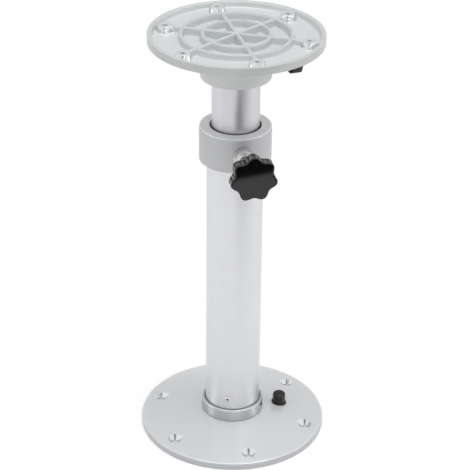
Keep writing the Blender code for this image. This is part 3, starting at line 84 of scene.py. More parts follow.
def filletLine(corners, arcSteps=6):
    # A rounded corner becomes an arc that touches both of its sides; its centre lies on the
    # bisector, radius / sin(half angle) from the corner
    padded = np.array([(tuple(corner) + (0.0,))[:3] for corner in corners], float)
    here, radius = padded[:, :2], padded[:, 2]
    before = np.roll(here, 1, axis=0) - here
    after = np.roll(here, -1, axis=0) - here
    before /= np.linalg.norm(before, axis=1)[:, None]
    after /= np.linalg.norm(after, axis=1)[:, None]
    half = np.arccos(np.clip((before * after).sum(axis=1), -1, 1)) / 2
    middle = before + after
    middle /= np.maximum(np.linalg.norm(middle, axis=1), tiny)[:, None]
    centre = here + middle * (radius / np.sin(half))[:, None]
    reach = (radius / np.maximum(np.tan(half), tiny))[:, None]
    share = np.linspace(0, 1, arcSteps + 1)[None, :, None]
    first = (here + before * reach - centre)[:, None]
    last = (here + after * reach - centre)[:, None]
    spoke = first * (1 - share) + last * share
    length = np.maximum(np.linalg.norm(spoke, axis=2), tiny)[:, :, None]
    line = (centre[:, None] + spoke * radius[:, None, None] / length).reshape(-1, 2)
    step = np.linalg.norm(line - np.roll(line, 1, axis=0), axis=1)
    return line[step > samePoint]


def splitLong(line, longest, closed):
    # Straight runs longer than `longest` get evenly spaced points
    step = np.roll(line, -1, axis=0) - line
    parts = np.maximum(1, np.ceil(np.linalg.norm(step, axis=1) / longest)).astype(int)
    if not closed:
        parts[-1] = 1
    index = np.repeat(np.arange(len(line)), parts)
    share = (np.arange(parts.sum()) - np.repeat(np.cumsum(parts) - parts, parts)) / parts[index]
    return line[index] + step[index] * share[:, None]


def gridFaces(rows, columns, wrapRows=False):
    # Quads between neighbouring rows; the columns close round
    row = np.arange(rows if wrapRows else rows - 1)[:, None]
    column = np.arange(columns)[None, :]
    nextRow, nextColumn = (row + 1) % rows, (column + 1) % columns
    corners = [row * columns + column, row * columns + nextColumn]
    corners += [nextRow * columns + nextColumn, nextRow * columns + column]
    return np.stack([np.broadcast_to(c, (len(row), columns)).ravel() for c in corners], axis=1)


def rowsRound(radius, angle, height):
    # Rows of points about the axis: x = r cos a, y = r sin a
    across, sideways = radius * np.cos(angle), radius * np.sin(angle)
    return np.stack([across, sideways, np.broadcast_to(height, across.shape)], axis=2)


def capped(grid):
    # grid is rows x columns x 3; the first and last rows close onto their middle points
    rows, columns = grid.shape[:2]
    points = np.vstack([grid.reshape(-1, 3), grid[0].mean(axis=0), grid[-1].mean(axis=0)])
    column = np.arange(columns)
    nextColumn = (column + 1) % columns
    first = np.stack([nextColumn, column, np.full(columns, rows * columns)], axis=1)
    base = (rows - 1) * columns
    last = np.stack([base + column, base + nextColumn, np.full(columns, rows * columns + 1)], axis=1)
    return points, gridFaces(rows, columns).tolist() + first.tolist() + last.tolist()


def lathe(corners, turns, arcSteps=6, longest=None, solid=False):
    # A profile (r, z) turned about the axis.
    # A solid's profile starts and ends on the axis; any other profile closes on itself
    line = filletLine(corners, arcSteps)
    if longest:
        line = splitLong(line, longest, not solid)
    if solid:
        line = line[1:-1]
    grid = rowsRound(line[:, 0:1], np.arange(turns) * fullTurn / turns, line[:, 1:2])
    if solid:
        return capped(grid)
    return grid.reshape(-1, 3), gridFaces(len(line), turns, wrapRows=True).tolist()


def rod(radius, start, end, turns=48):
    # A plain cylinder along the axis
    return lathe([(0, start), (radius, start), (radius, end), (0, end)], turns, solid=True)


def bar(low, high):
    # A box: the eight mixes of its low and high corner
    floor = [[0, 0, 0], [1, 0, 0], [1, 1, 0], [0, 1, 0]]
    pick = np.array(floor + [corner[:2] + [1] for corner in floor])
    points = np.where(pick == 1, np.array(high, float), np.array(low, float))
    faces = [[3, 2, 1, 0], [4, 5, 6, 7], [0, 1, 5, 4], [1, 2, 6, 5], [2, 3, 7, 6], [3, 0, 4, 7]]
    return points, faces


def prism(outline, start, end):
    # An outline in XY carried straight up from start to end
    outline = np.array(outline, float)
    flat = np.stack([np.column_stack([outline, np.full(len(outline), z)]) for z in (start, end)])
    sides = gridFaces(2, len(outline)).tolist()
    low = list(range(len(outline)))[::-1]
    high = list(range(len(outline), 2 * len(outline)))
    return flat.reshape(-1, 3), sides + [low, high]


def around(radius, azimuth):
    return np.array([radius * math.cos(azimuth), radius * math.sin(azimuth), 0.0])


def spreadRound(circle, first, count):
    # Evenly spaced places on a circle, the first at azimuth `first`
    return [around(circle, first + k * fullTurn / count) for k in range(count)]


def fromAxis(middles, place=(0.0, 0.0)):
    # Distances in plan from a place, in millimetres
    return np.hypot(middles[:, 0] / mm - place[0], middles[:, 1] / mm - place[1])


def fromNearest(middles, places):
    # Distances in plan from the nearest of several places, in millimetres
    return np.min([fromAxis(middles, place) for place in places], axis=0)


def crossBore(bore, azimuth, height):
    return outwards(rod(*bore), azimuth, height)


def moved(shape, offset):
    return shape[0] + np.array(offset, float), shape[1]


def turnedBy(shape, azimuth):
    # Turned about Z: x' = x cos a - y sin a, y' = x sin a + y cos a
    cosine, sine = math.cos(azimuth), math.sin(azimuth)
    x, y, z = shape[0].T
    return np.column_stack([x * cosine - y * sine, x * sine + y * cosine, z]), shape[1]


def outwards(shape, azimuth, height):
    # Local z runs outwards along the azimuth, local x runs down and local y sideways
    x, y, z = shape[0].T
    outward = around(1.0, azimuth)
    sideways = around(1.0, azimuth + math.pi / 2)
    points = z[:, None] * outward + y[:, None] * sideways - x[:, None] * up
    return points + height * up, shape[1]


def together(shapes):
    # Separate shapes in one mesh, for a single cut
    counts = np.cumsum([0] + [len(shape[0]) for shape in shapes])
    faces = [[v + int(start) for v in face] for shape, start in zip(shapes, counts) for face in shape[1]]
    return np.vstack([shape[0] for shape in shapes]), faces


def meshObject(name, shape):
    mesh = bpy.data.meshes.new(name)
    mesh.from_pydata((shape[0] * mm).tolist(), [], shape[1])
    cleaned = bmesh.new()
    cleaned.from_mesh(mesh)
    bmesh.ops.recalc_face_normals(cleaned, faces=cleaned.faces)
    cleaned.to_mesh(mesh)
    cleaned.free()
    piece = bpy.data.objects.new(name, mesh)
    bpy.context.scene.collection.objects.link(piece)
    return piece


def combine(piece, shape, operation):
    tool = meshObject("tool", shape)
    modifier = piece.modifiers.new("combine", "BOOLEAN")
    modifier.operation = operation
    modifier.solver = "EXACT"
    modifier.object = tool
    graph = bpy.context.evaluated_depsgraph_get()
    result = bpy.data.meshes.new_from_object(piece.evaluated_get(graph))
    piece.modifiers.clear()
    old, piece.data = piece.data, result
    result.name = piece.name
    bpy.data.meshes.remove(old)
    bpy.data.objects.remove(tool, do_unlink=True)


def addPiece(name, shape, finishName, body, nodes, joins=(), cuts=(), sharp=28, linings=()):
    # Each lining is (finish, test); the test picks faces from the array of their middles, in metres.
    # Edges that turn by more than `sharp` degrees stay hard
    piece = meshObject(name, shape)
    for shapeIn in joins:
        combine(piece, shapeIn, "UNION")
    for shapeOut in cuts:
        combine(piece, shapeOut, "DIFFERENCE")
    piece.data.materials.clear()
    piece.data.materials.append(materials[finishName])
    middles = np.empty(3 * len(piece.data.polygons))
    piece.data.polygons.foreach_get("center", middles)
    index = np.zeros(len(piece.data.polygons), np.int32)
    for number, (liningName, test) in enumerate(linings, 1):
        piece.data.materials.append(materials[liningName])
        index[test(middles.reshape(-1, 3))] = number
    piece.data.polygons.foreach_set("material_index", index)
    piece.data.shade_smooth()
    piece.data.set_sharp_from_angle(angle=math.radians(sharp))
    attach(piece, body)
    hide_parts(*nodes)
    return piece


# Finishes

materials = {}
finishDetail = Sizes(
    coatRoughness=0.12, glossSpread=0.15, reliefDetail=3.0, cloudDetail=4.0, drawnStretch=400,
)


def feed(tree, node, inputs):
    # Each input gets its value, or a link where it is given a socket
    for key, value in inputs.items():
        if isinstance(value, bpy.types.NodeSocket):
            tree.links.new(value, node.inputs[key])
        else:
            node.inputs[key].default_value = value
    return node


def addNode(tree, kind, inputs):
    return feed(tree, tree.nodes.new("ShaderNode" + kind), inputs)


def mathNode(tree, operation, *sources):
    made = addNode(tree, "Math", dict(enumerate(sources)))
    made.operation = operation
    return made.outputs[0]


def rangeNode(tree, value, start=(0.0, 1.0), end=(0.0, 1.0), kind="LINEAR"):
    # From the span `start` to the span `end`
    ends = dict(zip(("From Min", "From Max", "To Min", "To Max"), (*start, *end)))
    made = addNode(tree, "MapRange", {"Value": value, **ends})
    made.interpolation_type = kind
    return made.outputs["Result"]


def reliefHeight(tree, place, relief, pitch):
    # Fine surface marks: an even grain, lines along the leg, or lines round it
    scale = 1 / pitch
    if relief == "drawn":
        stretch = (scale, scale, scale / finishDetail.drawnStretch)
        place = addNode(tree, "Mapping", {"Scale": stretch, "Vector": place}).outputs["Vector"]
        scale = 1.0
    elif relief == "turned":
        apart = addNode(tree, "SeparateXYZ", {"Vector": place}).outputs
        squares = [mathNode(tree, "MULTIPLY", apart[axis], apart[axis]) for axis in ("X", "Y")]
        distance = mathNode(tree, "SQRT", mathNode(tree, "ADD", *squares))
        place = addNode(tree, "CombineXYZ", {"X": distance, "Z": apart["Z"]}).outputs["Vector"]
    detail = finishDetail.reliefDetail
    return addNode(tree, "TexNoise", {"Scale": scale, "Detail": detail, "Vector": place}).outputs["Fac"]


def addFinish(
    name, colour, metallic, roughness, coat=0.0, vary=0.04, patch=55.0, relief="grain", pitch=0.9,
    depth=0.05,
):
    # The colour wanders by the share `vary` over patches of `patch` mm, and `relief` is a bump of
    # strength `depth` whose marks are `pitch` mm wide
    made = materials[name] = bpy.data.materials.new(name)
    made.use_nodes = True
    tree, d, pitch = made.node_tree, finishDetail, pitch * mm
    place = addNode(tree, "TexCoord", {}).outputs["Object"]
    size = 1 / (patch * mm)
    cloud = addNode(tree, "TexNoise", {"Scale": size, "Detail": d.cloudDetail, "Vector": place})
    darker, lighter = [np.minimum(np.array(colour) * (1 + way * vary), 1.0) for way in (-1, 1)]
    tint = addNode(tree, "Mix", {})
    tint.data_type = "RGBA"
    feed(tree, tint, {"A": (*darker, 1.0), "B": (*lighter, 1.0), "Factor": cloud.outputs["Fac"]})
    marks = reliefHeight(tree, place, relief, pitch)
    gloss = [roughness * (1 + way * d.glossSpread) for way in (-1, 1)]
    bump = addNode(tree, "Bump", {"Strength": depth, "Distance": pitch, "Height": marks})
    feed(tree, tree.nodes["Principled BSDF"], {
        "Metallic": metallic, "Coat Weight": coat, "Coat Roughness": d.coatRoughness,
        "Base Color": tint.outputs["Result"], "Roughness": rangeNode(tree, marks, end=gloss),
        "Normal": bump.outputs["Normal"],
    })


addFinish("castPaint", (0.605, 0.627, 0.631), 0.15, 0.46, coat=0.15, vary=0.05)
addFinish(
    "facedTop", (0.540, 0.560, 0.566), 0.15, 0.38, coat=0.10, vary=0.05, patch=40.0, relief="turned",
    pitch=0.5, depth=0.04,
)
# Painted highlight: a lighter, glossier copy of the cast paint for the flanks of the screw bosses
addFinish("bossFlankHighlight", (0.700, 0.720, 0.725), 0.75, 0.18, coat=0.50, vary=0.05, depth=0.04)
# Painted shade: a darker copy of the cast paint for the outer side of the table plate's rim
addFinish("rimShadePaint", (0.515, 0.530, 0.533), 0.10, 0.36, coat=0.20)
addFinish("collarPaint", (0.560, 0.565, 0.580), 0.12, 0.42, coat=0.10, patch=40.0, pitch=0.8)
# Painted light: the collar's faced top is much lighter than the collar's paint, to make up for the shade of
# the table plate above it
addFinish(
    "collarTopPaintedLight", (0.910, 0.915, 0.925), 0.35, 0.40, vary=0.03, patch=30.0, relief="turned", pitch=0.5,
)
# Painted light: a lighter copy of the cast paint for the hub, to make up for the shade of the table plate
# above it
addFinish("hubLitPaint", (0.630, 0.638, 0.642), 0.10, 0.45, patch=50.0)
addFinish("countersink", (0.720, 0.730, 0.740), 1.0, 0.20, vary=0.03, patch=10.0, pitch=0.3)
addFinish("satinSteel", (0.720, 0.720, 0.730), 0.85, 0.38, patch=12.0, pitch=0.25)
# Painted shade: a darker copy of the base's paint for its outer edge
addFinish("baseEdgeShade", (0.530, 0.538, 0.555), 0.10, 0.34, coat=0.20, patch=60.0, depth=0.04)
addFinish("basePaint", (0.722, 0.733, 0.747), 0.12, 0.22, coat=0.90, patch=60.0, depth=0.04)
addFinish(
    "anodised", (0.684, 0.689, 0.716), 0.80, 0.40, vary=0.035, patch=30.0, relief="drawn", pitch=0.35,
    depth=0.06,
)
addFinish(
    "anodisedInner", (0.590, 0.593, 0.610), 0.85, 0.38, patch=24.0, relief="drawn", pitch=0.30,
    depth=0.08,
)
addFinish(
    "turnedAluminium", (0.505, 0.514, 0.526), 1.0, 0.36, patch=20.0, relief="turned", pitch=0.22,
    depth=0.10,
)
addFinish("brightSteel", (0.620, 0.620, 0.625), 1.0, 0.20, vary=0.05, patch=12.0, pitch=0.25)
addFinish("darkSteel", (0.045, 0.045, 0.050), 0.9, 0.40, vary=0.15, patch=6.0, pitch=0.25, depth=0.08)
addFinish(
    "blackMoulding", (0.0035, 0.0035, 0.0040), 0.0, 0.035, vary=0.20, patch=18.0, pitch=0.60, depth=0.003,
)
addFinish("machinedBoss", (0.400, 0.402, 0.405), 0.80, 0.35, patch=20.0, pitch=0.5, depth=0.03)
# The knob's ribbed flank: a rougher copy of the black moulding whose colour is painted lighter, as painted
# highlights on the ribs
addFinish(
    "gripHighlightMoulding", (0.030, 0.030, 0.032), 0.0, 0.16, coat=0.30, vary=0.20, patch=18.0, pitch=0.60,
    depth=0.01,
)
addFinish(
    "blackNylon", (0.022, 0.022, 0.024), 0.0, 0.48, vary=0.15, patch=10.0, relief="turned", pitch=0.30,
    depth=0.10,
)
addFinish("whiteAcetal", (0.720, 0.720, 0.690), 0.0, 0.42, vary=0.05, patch=10.0, pitch=0.40, depth=0.06)
print("finishes made:", len(materials))


# The table plate: a ribbed casting faced flat on top, with its hub below

plateSizes = Sizes(
    top=545.8, radius=106.0, lipWidth=5.2, edgeRound=0.7, outerFloor=7.5, middleFloor=9.0,
    centreFloor=10.5, centreRadius=30.0, floorRamp=1.2, outerRing=66.0, innerRing=40.3, ringHalf=2.0,
    ribHalf=2.1, ribCount=6, ribAzimuth=math.radians(-14.3), bossCircle=88.3, bossRadius=8.7,
    draft=0.9, bossDraft=2.3, foot=1.2, lipFoot=2.6, crown=0.22, footShare=0.28, bossFootShare=0.12,
    lipFootShare=0.3,
    underRim=535.6, stepOuter=70.0, stepInner=62.0, underside=534.1, stepRound=3.0,
    hubRadius=43.2, hubBottom=490.8, hubFillet=3.2, hubRound=1.0,
    bushBore=33.3, bushSeat=515.7, swivelBore=29.7, boreTop=532.0, boreCentre=4.0,
    screwHole=2.8, screwBevel=0.5, screwEnd=547.0, retainerHeight=520.2, shoeHeight=526.5,
    retainerBore=(3.3, 20, 47), shoeBore=(4.8, 20, 46), pivotBore=(2.8, 520, 535.7), pivotCircle=53.0,
    pivotBoss=[(0, 529.4), (6.5, 529.4, 0.5), (6.5, 533.0), (8.0, 535.4), (0, 535.4)],
)
# How finely the upper face is drawn: rows are circles, lines run outwards beside each rib
plateMesh = Sizes(
    firstRow=0.8, rowStep=0.85, wallMiddle=2.6, wallReach=1.3, wallStep=0.32,
    lipMiddle=1.6, lipReach=2.4, lipStep=0.4, lastRow=0.6, joinRow=1.0,
    lines=[
        0, 1.0, 1.7, 2.0, 2.25, 2.6, 3.0, 3.3, 3.7, 4.3, 5.2, 6.2, 7.1, 7.9, 8.4, 8.8, 9.2, 9.7,
        10.2, 10.7, 11.2, 11.8, 12.6,
    ],
    sectorShare=0.86, farLines=8, arcSteps=4, longest=9.0, closest=0.6,
)
# How far the differently finished faces reach, measured from the edges named; the rim's band carries
# painted shade, the hub's painted light and the boss flanks' painted highlights
plateBands = Sizes(rim=0.4, faced=0.35, hub=0.3, bossInside=0.2, bossOutside=0.3, bossFoot=0.7)
leverAzimuth = math.radians(-12.3)
pivotPlace = around(plateSizes.pivotCircle, leverAzimuth)
retainerAzimuths = (math.radians(107.7), math.radians(227.7))


def wallDepth(distance, draft, foot, share):
    # Depth from 0 on top to 1 on the floor, for a distance out from the top edge: a drafted wall
    # falls evenly over `draft`, then a quarter ellipse of width `foot` takes the last `share` of it
    crown = plateSizes.crown
    eased = (distance + np.sqrt(distance ** 2 + crown ** 2)) / 2
    wall = eased / draft * (1 - share)
    turn = np.clip((eased - draft) / foot, 0, 1)
    fillet = 1 - share * (1 - np.sqrt(np.clip(1 - (1 - turn) ** 2, 0, 1)))
    return np.where(eased < draft, wall, fillet)


def plateTopHeight(radius, side):
    # Height of the upper face at a radius and a sideways distance from the nearest rib's line.
    # The wall depths of ribs, rings, bosses and lip multiply, which rounds the corners between them
    s = plateSizes
    fade = np.clip((radius - s.centreRadius) / s.floorRamp + 0.5, 0, 1)
    floor = s.centreFloor + (s.middleFloor - s.centreFloor) * fade * fade * (3 - 2 * fade)
    floor = np.where(radius > s.outerRing, s.outerFloor, floor)
    depth = wallDepth(np.abs(side) - s.ribHalf, s.draft, s.foot, s.footShare)
    for ring in (s.innerRing, s.outerRing):
        fromRing = np.abs(radius - ring) - s.ringHalf
        depth = depth * wallDepth(fromRing, s.draft, s.foot, s.footShare)
    along = np.sqrt(np.maximum(radius ** 2 - side ** 2, 0))
    fromBoss = np.hypot(along - s.bossCircle, side) - s.bossRadius
    depth = depth * wallDepth(fromBoss, s.bossDraft, s.foot, s.bossFootShare)
    inside = s.radius - s.lipWidth - radius
    depth = depth * wallDepth(inside, s.draft, s.lipFoot, s.lipFootShare)
    return s.top - floor * depth


def closerNear(values, places, reach, step):
    # Adds evenly spaced values within `reach` of each place, and drops any that come too close
    extra = [np.arange(place - reach, place + reach + step / 2, step) for place in places]
    merged = np.unique(np.round(np.concatenate([values] + extra), 3))
    keep = np.concatenate([[True], np.diff(merged) > step * plateMesh.closest])
    return merged[keep]


def topPlateShape():
    s, m = plateSizes, plateMesh
    lipEdge = s.radius - s.lipWidth
    walls = [ring + way * m.wallMiddle for ring in (s.innerRing, s.outerRing) for way in (-1, 1)]
    radii = np.arange(m.firstRow, lipEdge, m.rowStep)
    radii = closerNear(radii, walls + [s.centreRadius], m.wallReach, m.wallStep)
    radii = closerNear(radii, [lipEdge - m.lipMiddle], m.lipReach, m.lipStep)
    radii = radii[radii < lipEdge + m.lastRow]
    near = np.array(m.lines)
    far = np.linspace(0, 1, m.farLines + 1)[1:]
    sector = fullTurn / s.ribCount
    # Lines beside the rib keep their distance from it, and the rest share what is left of the sector
    fit = np.minimum(1.0, radii * math.sin(sector / 2) * m.sectorShare / near[-1])
    nearAngle = np.arcsin(np.clip(near[None, :] * fit[:, None] / radii[:, None], 0, 1))
    farAngle = nearAngle[:, -1:] + (sector / 2 - nearAngle[:, -1:]) * far[None, :]
    half = np.concatenate([nearAngle, farAngle], axis=1)
    whole = np.concatenate([-half[:, :0:-1], half[:, :-1]], axis=1)
    angle = np.concatenate([whole + s.ribAzimuth + k * sector for k in range(s.ribCount)], axis=1)
    side = radii[:, None] * np.sin(np.tile(whole, (1, s.ribCount)))
    height = plateTopHeight(np.broadcast_to(radii[:, None], side.shape), side)
    top = rowsRound(radii[:, None], angle, height)
    # The rest is a turned profile: over the lip, down the rim and along the underside to the hub's bore
    corners = [
        (lipEdge + m.joinRow, s.top), (s.radius, s.top, s.edgeRound),
        (s.radius, s.underRim, 0.5), (s.stepOuter, s.underRim, s.stepRound),
        (s.stepInner, s.underside, s.stepRound), (s.hubRadius, s.underside, s.hubFillet),
        (s.hubRadius, s.hubBottom, s.hubRound), (s.bushBore, s.hubBottom, 0.4),
        (s.bushBore, s.bushSeat), (s.swivelBore, s.bushSeat), (s.swivelBore, s.boreTop),
        (s.boreCentre, s.boreTop),
    ]
    line = splitLong(filletLine(corners, m.arcSteps), m.longest, False)
    return capped(np.concatenate([top, rowsRound(line[:, 0:1], angle[-1], line[:, 1:2])]))


def bossPlaces():
    s = plateSizes
    return spreadRound(s.bossCircle, s.ribAzimuth, s.ribCount)


def topPlateCuts():
    s = plateSizes
    hole = lathe([
        (0, s.boreTop), (s.screwHole, s.boreTop), (s.screwHole, s.top - s.screwBevel),
        (s.screwHole + s.screwBevel, s.top), (s.screwHole + s.screwBevel, s.screwEnd),
        (0, s.screwEnd),
    ], 32, solid=True)
    holes = [moved(hole, place) for place in bossPlaces()]
    holes += [crossBore(s.retainerBore, azimuth, s.retainerHeight) for azimuth in retainerAzimuths]
    holes.append(moved(rod(*s.pivotBore), pivotPlace))
    return [together(holes), crossBore(s.shoeBore, leverAzimuth, s.shoeHeight)]


# The rim's outer side, which gets the darker copy of the paint as painted shade
def onShadedRim(middles):
    return fromAxis(middles) > plateSizes.radius - plateBands.rim


def onFacedTop(middles):
    return middles[:, 2] > (plateSizes.top - plateBands.faced) * mm


def onBossHighlightFlank(middles):
    # Beside a screw boss, between its faced top and the floor, where a lighter, glossier copy of the paint
    # stands in for highlights
    s, b = plateSizes, plateBands
    fromBoss, height = fromNearest(middles, bossPlaces()) - s.bossRadius, middles[:, 2] / mm
    beside = (fromBoss > -b.bossInside) & (fromBoss < s.bossDraft + b.bossOutside)
    return beside & (height > s.top - s.outerFloor + b.bossFoot) & (height < s.top - b.faced)


# The hub, which gets the lighter copy of the paint as painted light
def onLitHub(middles):
    s = plateSizes
    near = fromAxis(middles) < s.hubRadius + s.hubFillet
    return near & (middles[:, 2] < (s.underside - plateBands.hub) * mm)


pivotBoss = moved(lathe(plateSizes.pivotBoss, 48, solid=True), pivotPlace)
addPiece(
    "topPlate", topPlateShape(), "castPaint", "table_plate", ["top_plate"],
    joins=[pivotBoss], cuts=topPlateCuts(), sharp=35,
    linings=[
        ("bossFlankHighlight", onBossHighlightFlank), ("facedTop", onFacedTop),
        ("rimShadePaint", onShadedRim), ("hubLitPaint", onLitHub),
    ],
)
print("table plate made")


# The leg: tubes, collar, bush and the bright boss that the knob's stud runs in

legSizes = Sizes(
    tubeRadius=35.0, tubeBore=31.7, tubeBottom=13.3, tubeTop=417.0,
    innerRadius=29.3, innerBore=26.8, innerBottom=164.7, innerTop=513.7,
    collarRadius=44.3, collarTop=427.2, collarBottom=382.1, collarRound=2.6, clearance=0.3,
    boss=[(0, 39.6), (13.9, 39.6), (13.65, 47.6), (13.6, 49.4, 0.25), (0, 49.4)],
    # The collar's top band gets a colour painted lighter than the collar, for the light that the table
    # plate keeps off it
    bossBand=47.6, collarBand=1.2,  # the machined end of the boss, the faced top of the collar
    bushRadius=31.4, bushBore=29.6, bushTop=426.9, bushLength=65.0,
    footScrewHeight=51.0, collarScrewHeight=404.2, pinHeight=501.7,
    footBore=(2.3, 25, 42, 24), studBore=(6.3, 15, 50), pinBore=(2.8, -40, 40, 24),
    insertBore=(8.8, 30, 52), collarBore=(2.8, 33, 60, 24),
)
knobAzimuth, knobHeight = math.radians(-78), 405.7
collarScrewAzimuths = (math.radians(180), math.radians(24))
footScrewAzimuths = [math.radians(degrees) for degrees in (-100, 20, 140)]


def addTube(name, bore, radius, bottom, top, material, body, node, cuts):
    # A plain tube with its edges lightly broken
    corners = [(bore, top, 0.2), (radius, top, 0.3), (radius, bottom, 0.3), (bore, bottom, 0.2)]
    addPiece(name, lathe(corners, 144, 3, longest=20), material, body, [node], cuts=cuts)


def byKnob(shape):
    # From the origin, local z pointing outwards, to the knob's axis
    return outwards(shape, knobAzimuth, knobHeight)


def lowerTube():
    s = legSizes
    cuts = [crossBore(s.footBore, azimuth, s.footScrewHeight) for azimuth in footScrewAzimuths]
    cuts.append(byKnob(rod(*s.studBore)))
    addTube(
        "lowerTube", s.tubeBore, s.tubeRadius, s.tubeBottom, s.tubeTop,
        "anodised", "stand", "lower_tube", cuts,
    )


def innerTube():
    s = legSizes
    addTube(
        "innerTube", s.innerBore, s.innerRadius, s.innerBottom, s.innerTop,
        "anodisedInner", "column", "inner_tube", [crossBore(s.pinBore, 0.0, s.pinHeight)],
    )


def clampCollar():
    s = legSizes
    fit, seat = s.tubeRadius + s.clearance, s.tubeTop + s.clearance
    corners = [
        (s.tubeBore, s.collarTop, 0.4), (s.collarRadius, s.collarTop, s.collarRound),
        (s.collarRadius, s.collarBottom, 1.0), (fit, s.collarBottom, 0.3), (fit, seat),
        (s.tubeBore, seat),
    ]
    cuts = [byKnob(rod(*s.insertBore))]
    cuts += [crossBore(s.collarBore, azimuth, s.collarScrewHeight) for azimuth in collarScrewAzimuths]
    addPiece(
        "clampCollar", lathe(corners, 144, 6, longest=6), "collarPaint", "stand",
        ["clamp_collar"], joins=[byKnob(lathe(s.boss, 96, solid=True))], cuts=cuts,
        linings=[("collarTopPaintedLight", onCollarPaintedLightTop), ("machinedBoss", onCollarBoss)],
    )


def outByKnob(middles):
    # Distances out from the leg's axis towards the knob, in millimetres
    return (middles[:, 0] * math.cos(knobAzimuth) + middles[:, 1] * math.sin(knobAzimuth)) / mm


# Picks the collar's top, whose colour is painted lighter for the light that the table plate keeps off it
def onCollarPaintedLightTop(middles):
    return middles[:, 2] > (legSizes.collarTop - legSizes.collarBand) * mm


def onCollarBoss(middles):
    return outByKnob(middles) > legSizes.bossBand


def collarBush():
    s = legSizes
    low = s.bushTop - s.bushLength
    corners = [
        (s.bushBore, s.bushTop, 0.3), (s.bushRadius, s.bushTop, 0.2), (s.bushRadius, low),
        (s.bushBore, low),
    ]
    addPiece(
        "collarBush", lathe(corners, 128, 3), "blackNylon", "stand", ["collar_bush"],
        cuts=[byKnob(rod(*s.studBore))],
    )


insertSizes = Sizes(
    # (radius about the stud, distance out from the leg's axis)
    profile=[
        (5.3, 63.15, 0.3), (9.0, 63.15, 0.4), (9.0, 51.3, 0.5), (13.4, 51.3, 0.4), (12.8, 49.7, 0.1),
        (8.5, 49.7), (8.5, 36.2), (6.3, 36.2), (6.3, 40.45), (5.3, 40.45),
    ],
    legShaft=(35.3, 380, 430, 144),
)


def clampBoss():
    # A turned insert: a round sleeve on a thin flange, its shank hidden in the collar
    s = insertSizes
    addPiece(
        "clampBoss", byKnob(lathe(s.profile, 64, 3)), "satinSteel", "stand",
        ["clamp_boss"], cuts=[rod(*s.legShaft)],
    )


lowerTube()
innerTube()
clampCollar()
collarBush()
clampBoss()
print("leg made")


# The star knob

knobSizes = Sizes(
    lobes=7, tip=28.7, valley=24.1, face=110.0, thickness=14.0, round=1.6,
    firstLobe=math.radians(89.8), ribsPerLobe=4, ribDepth=1.9, ribMargin=0.4,
    columnsPerRib=16, roundRows=6, sideRows=7, stemRoot=12.2, bore=5.3,
    boreRows=(75.0, 88.3), faceRows=(0.08, 0.3, 0.55, 0.8, 0.95), backRows=(0.75, 0.5, 0.25, 0.0),
    # The stem's (radius, distance out from the back of the head)
    stem=[
        (11.4, -0.35), (11.05, -1.2), (10.4, -10.0), (9.7, -20.0), (9.1, -29.2), (8.6, -29.8), (7.9, -30.0),
        (5.8, -30.0), (5.3, -29.5),
    ],
)


def clampKnob():
    # The lobed outline is R(a) = valley + (tip - valley) (1 + cos(lobes a)) / 2. Rows run from the middle
    # of the face over the rounded edge, down the ribbed side, in along the back, down the stem, up its bore
    s = knobSizes
    columns = s.lobes * s.ribsPerLobe * s.columnsPerRib
    angle = np.arange(columns) * fullTurn / columns
    wave = (1 + np.cos(s.lobes * angle)) / 2
    outline = s.valley + (s.tip - s.valley) * wave
    # The flank's grip: rounded ribs with sharp grooves between them, depth * (1 - |sin|)
    ribs = s.ribDepth * (1 - np.abs(np.sin(s.lobes * s.ribsPerLobe * angle / 2)))
    back = s.face - s.thickness
    arc = np.linspace(0, math.pi / 2, s.roundRows)
    inset = s.round * (1 - np.sin(arc))
    frontHeight = s.face - s.round * (1 - np.cos(arc))
    # A row: how far in from the outline, height, share of the ribs, share of the lobes, stem radius
    rows = [(s.round, s.face, 0.0, share, 0.0) for share in s.faceRows]
    rows += [(i, h, 0.0, 1.0, 0.0) for i, h in zip(inset, frontHeight)]
    margin = s.round + s.ribMargin
    sideHeights = np.linspace(s.face - margin, back + margin, s.sideRows)
    rows += [(0.0, h, 1.0, 1.0, 0.0) for h in sideHeights]
    rows += [(i, back + s.face - h, 0.0, 1.0, 0.0) for i, h in zip(inset[::-1], frontHeight[::-1])]
    rows += [(s.round, back, 0.0, share, s.stemRoot) for share in s.backRows]
    rows += [(0.0, back + drop, 0.0, 0.0, radius) for radius, drop in s.stem]
    rows += [(0.0, h, 0.0, 0.0, s.bore) for h in s.boreRows]
    rows = np.array(rows)
    lobed = outline[None, :] - rows[:, 0:1] - ribs[None, :] * rows[:, 2:3]
    radius = lobed * rows[:, 3:4] + rows[:, 4:5] * (1 - rows[:, 3:4])
    turn = angle + s.firstLobe + math.pi / 2
    grid = rowsRound(radius, turn, rows[:, 1:2])
    addPiece(
        "clampKnob", byKnob(capped(grid)), "blackMoulding", "knob", ["clamp_knob"],
        sharp=40, linings=[("gripHighlightMoulding", onKnobHighlightFlank)],
    )


# The knob's ribbed flank, which gets the lighter moulding as painted highlights
def onKnobHighlightFlank(middles):
    s = knobSizes
    along = outByKnob(middles)
    return (along > s.face - s.thickness + s.round) & (along < s.face - s.round)


clampKnob()
print("knob made")


# The base: a shallow turned cone with screw holes, ribs below and a socket ring

baseSizes = Sizes(
    radius=119.0, edge=8.6, height=19.0, wall=4.0, rimWidth=5.0, face=41.5,
    faceOver=0.2, faceRound=3.0, edgeRound=2.8, edgeBand=0.5,
    hubBore=38.3, hub=45.0, socket=35.7, lipHeight=2.0, lipWidth=5.7, ledge=8.7,
    screwCircle=99.4, screwAzimuth=math.radians(-17.5), screws=6, hole=4.0, sink=9.2,
    over=3, boss=10.0, ribStart=41.7, ribWidth=3.0, ribLift=1.5,
    sinkReach=9.3, sinkDepth=0.15, sinkFloor=0.5,
)
buttonAzimuth = math.radians(11.2)
buttonCircle = 62.9
buttonPlace = around(buttonCircle, buttonAzimuth)


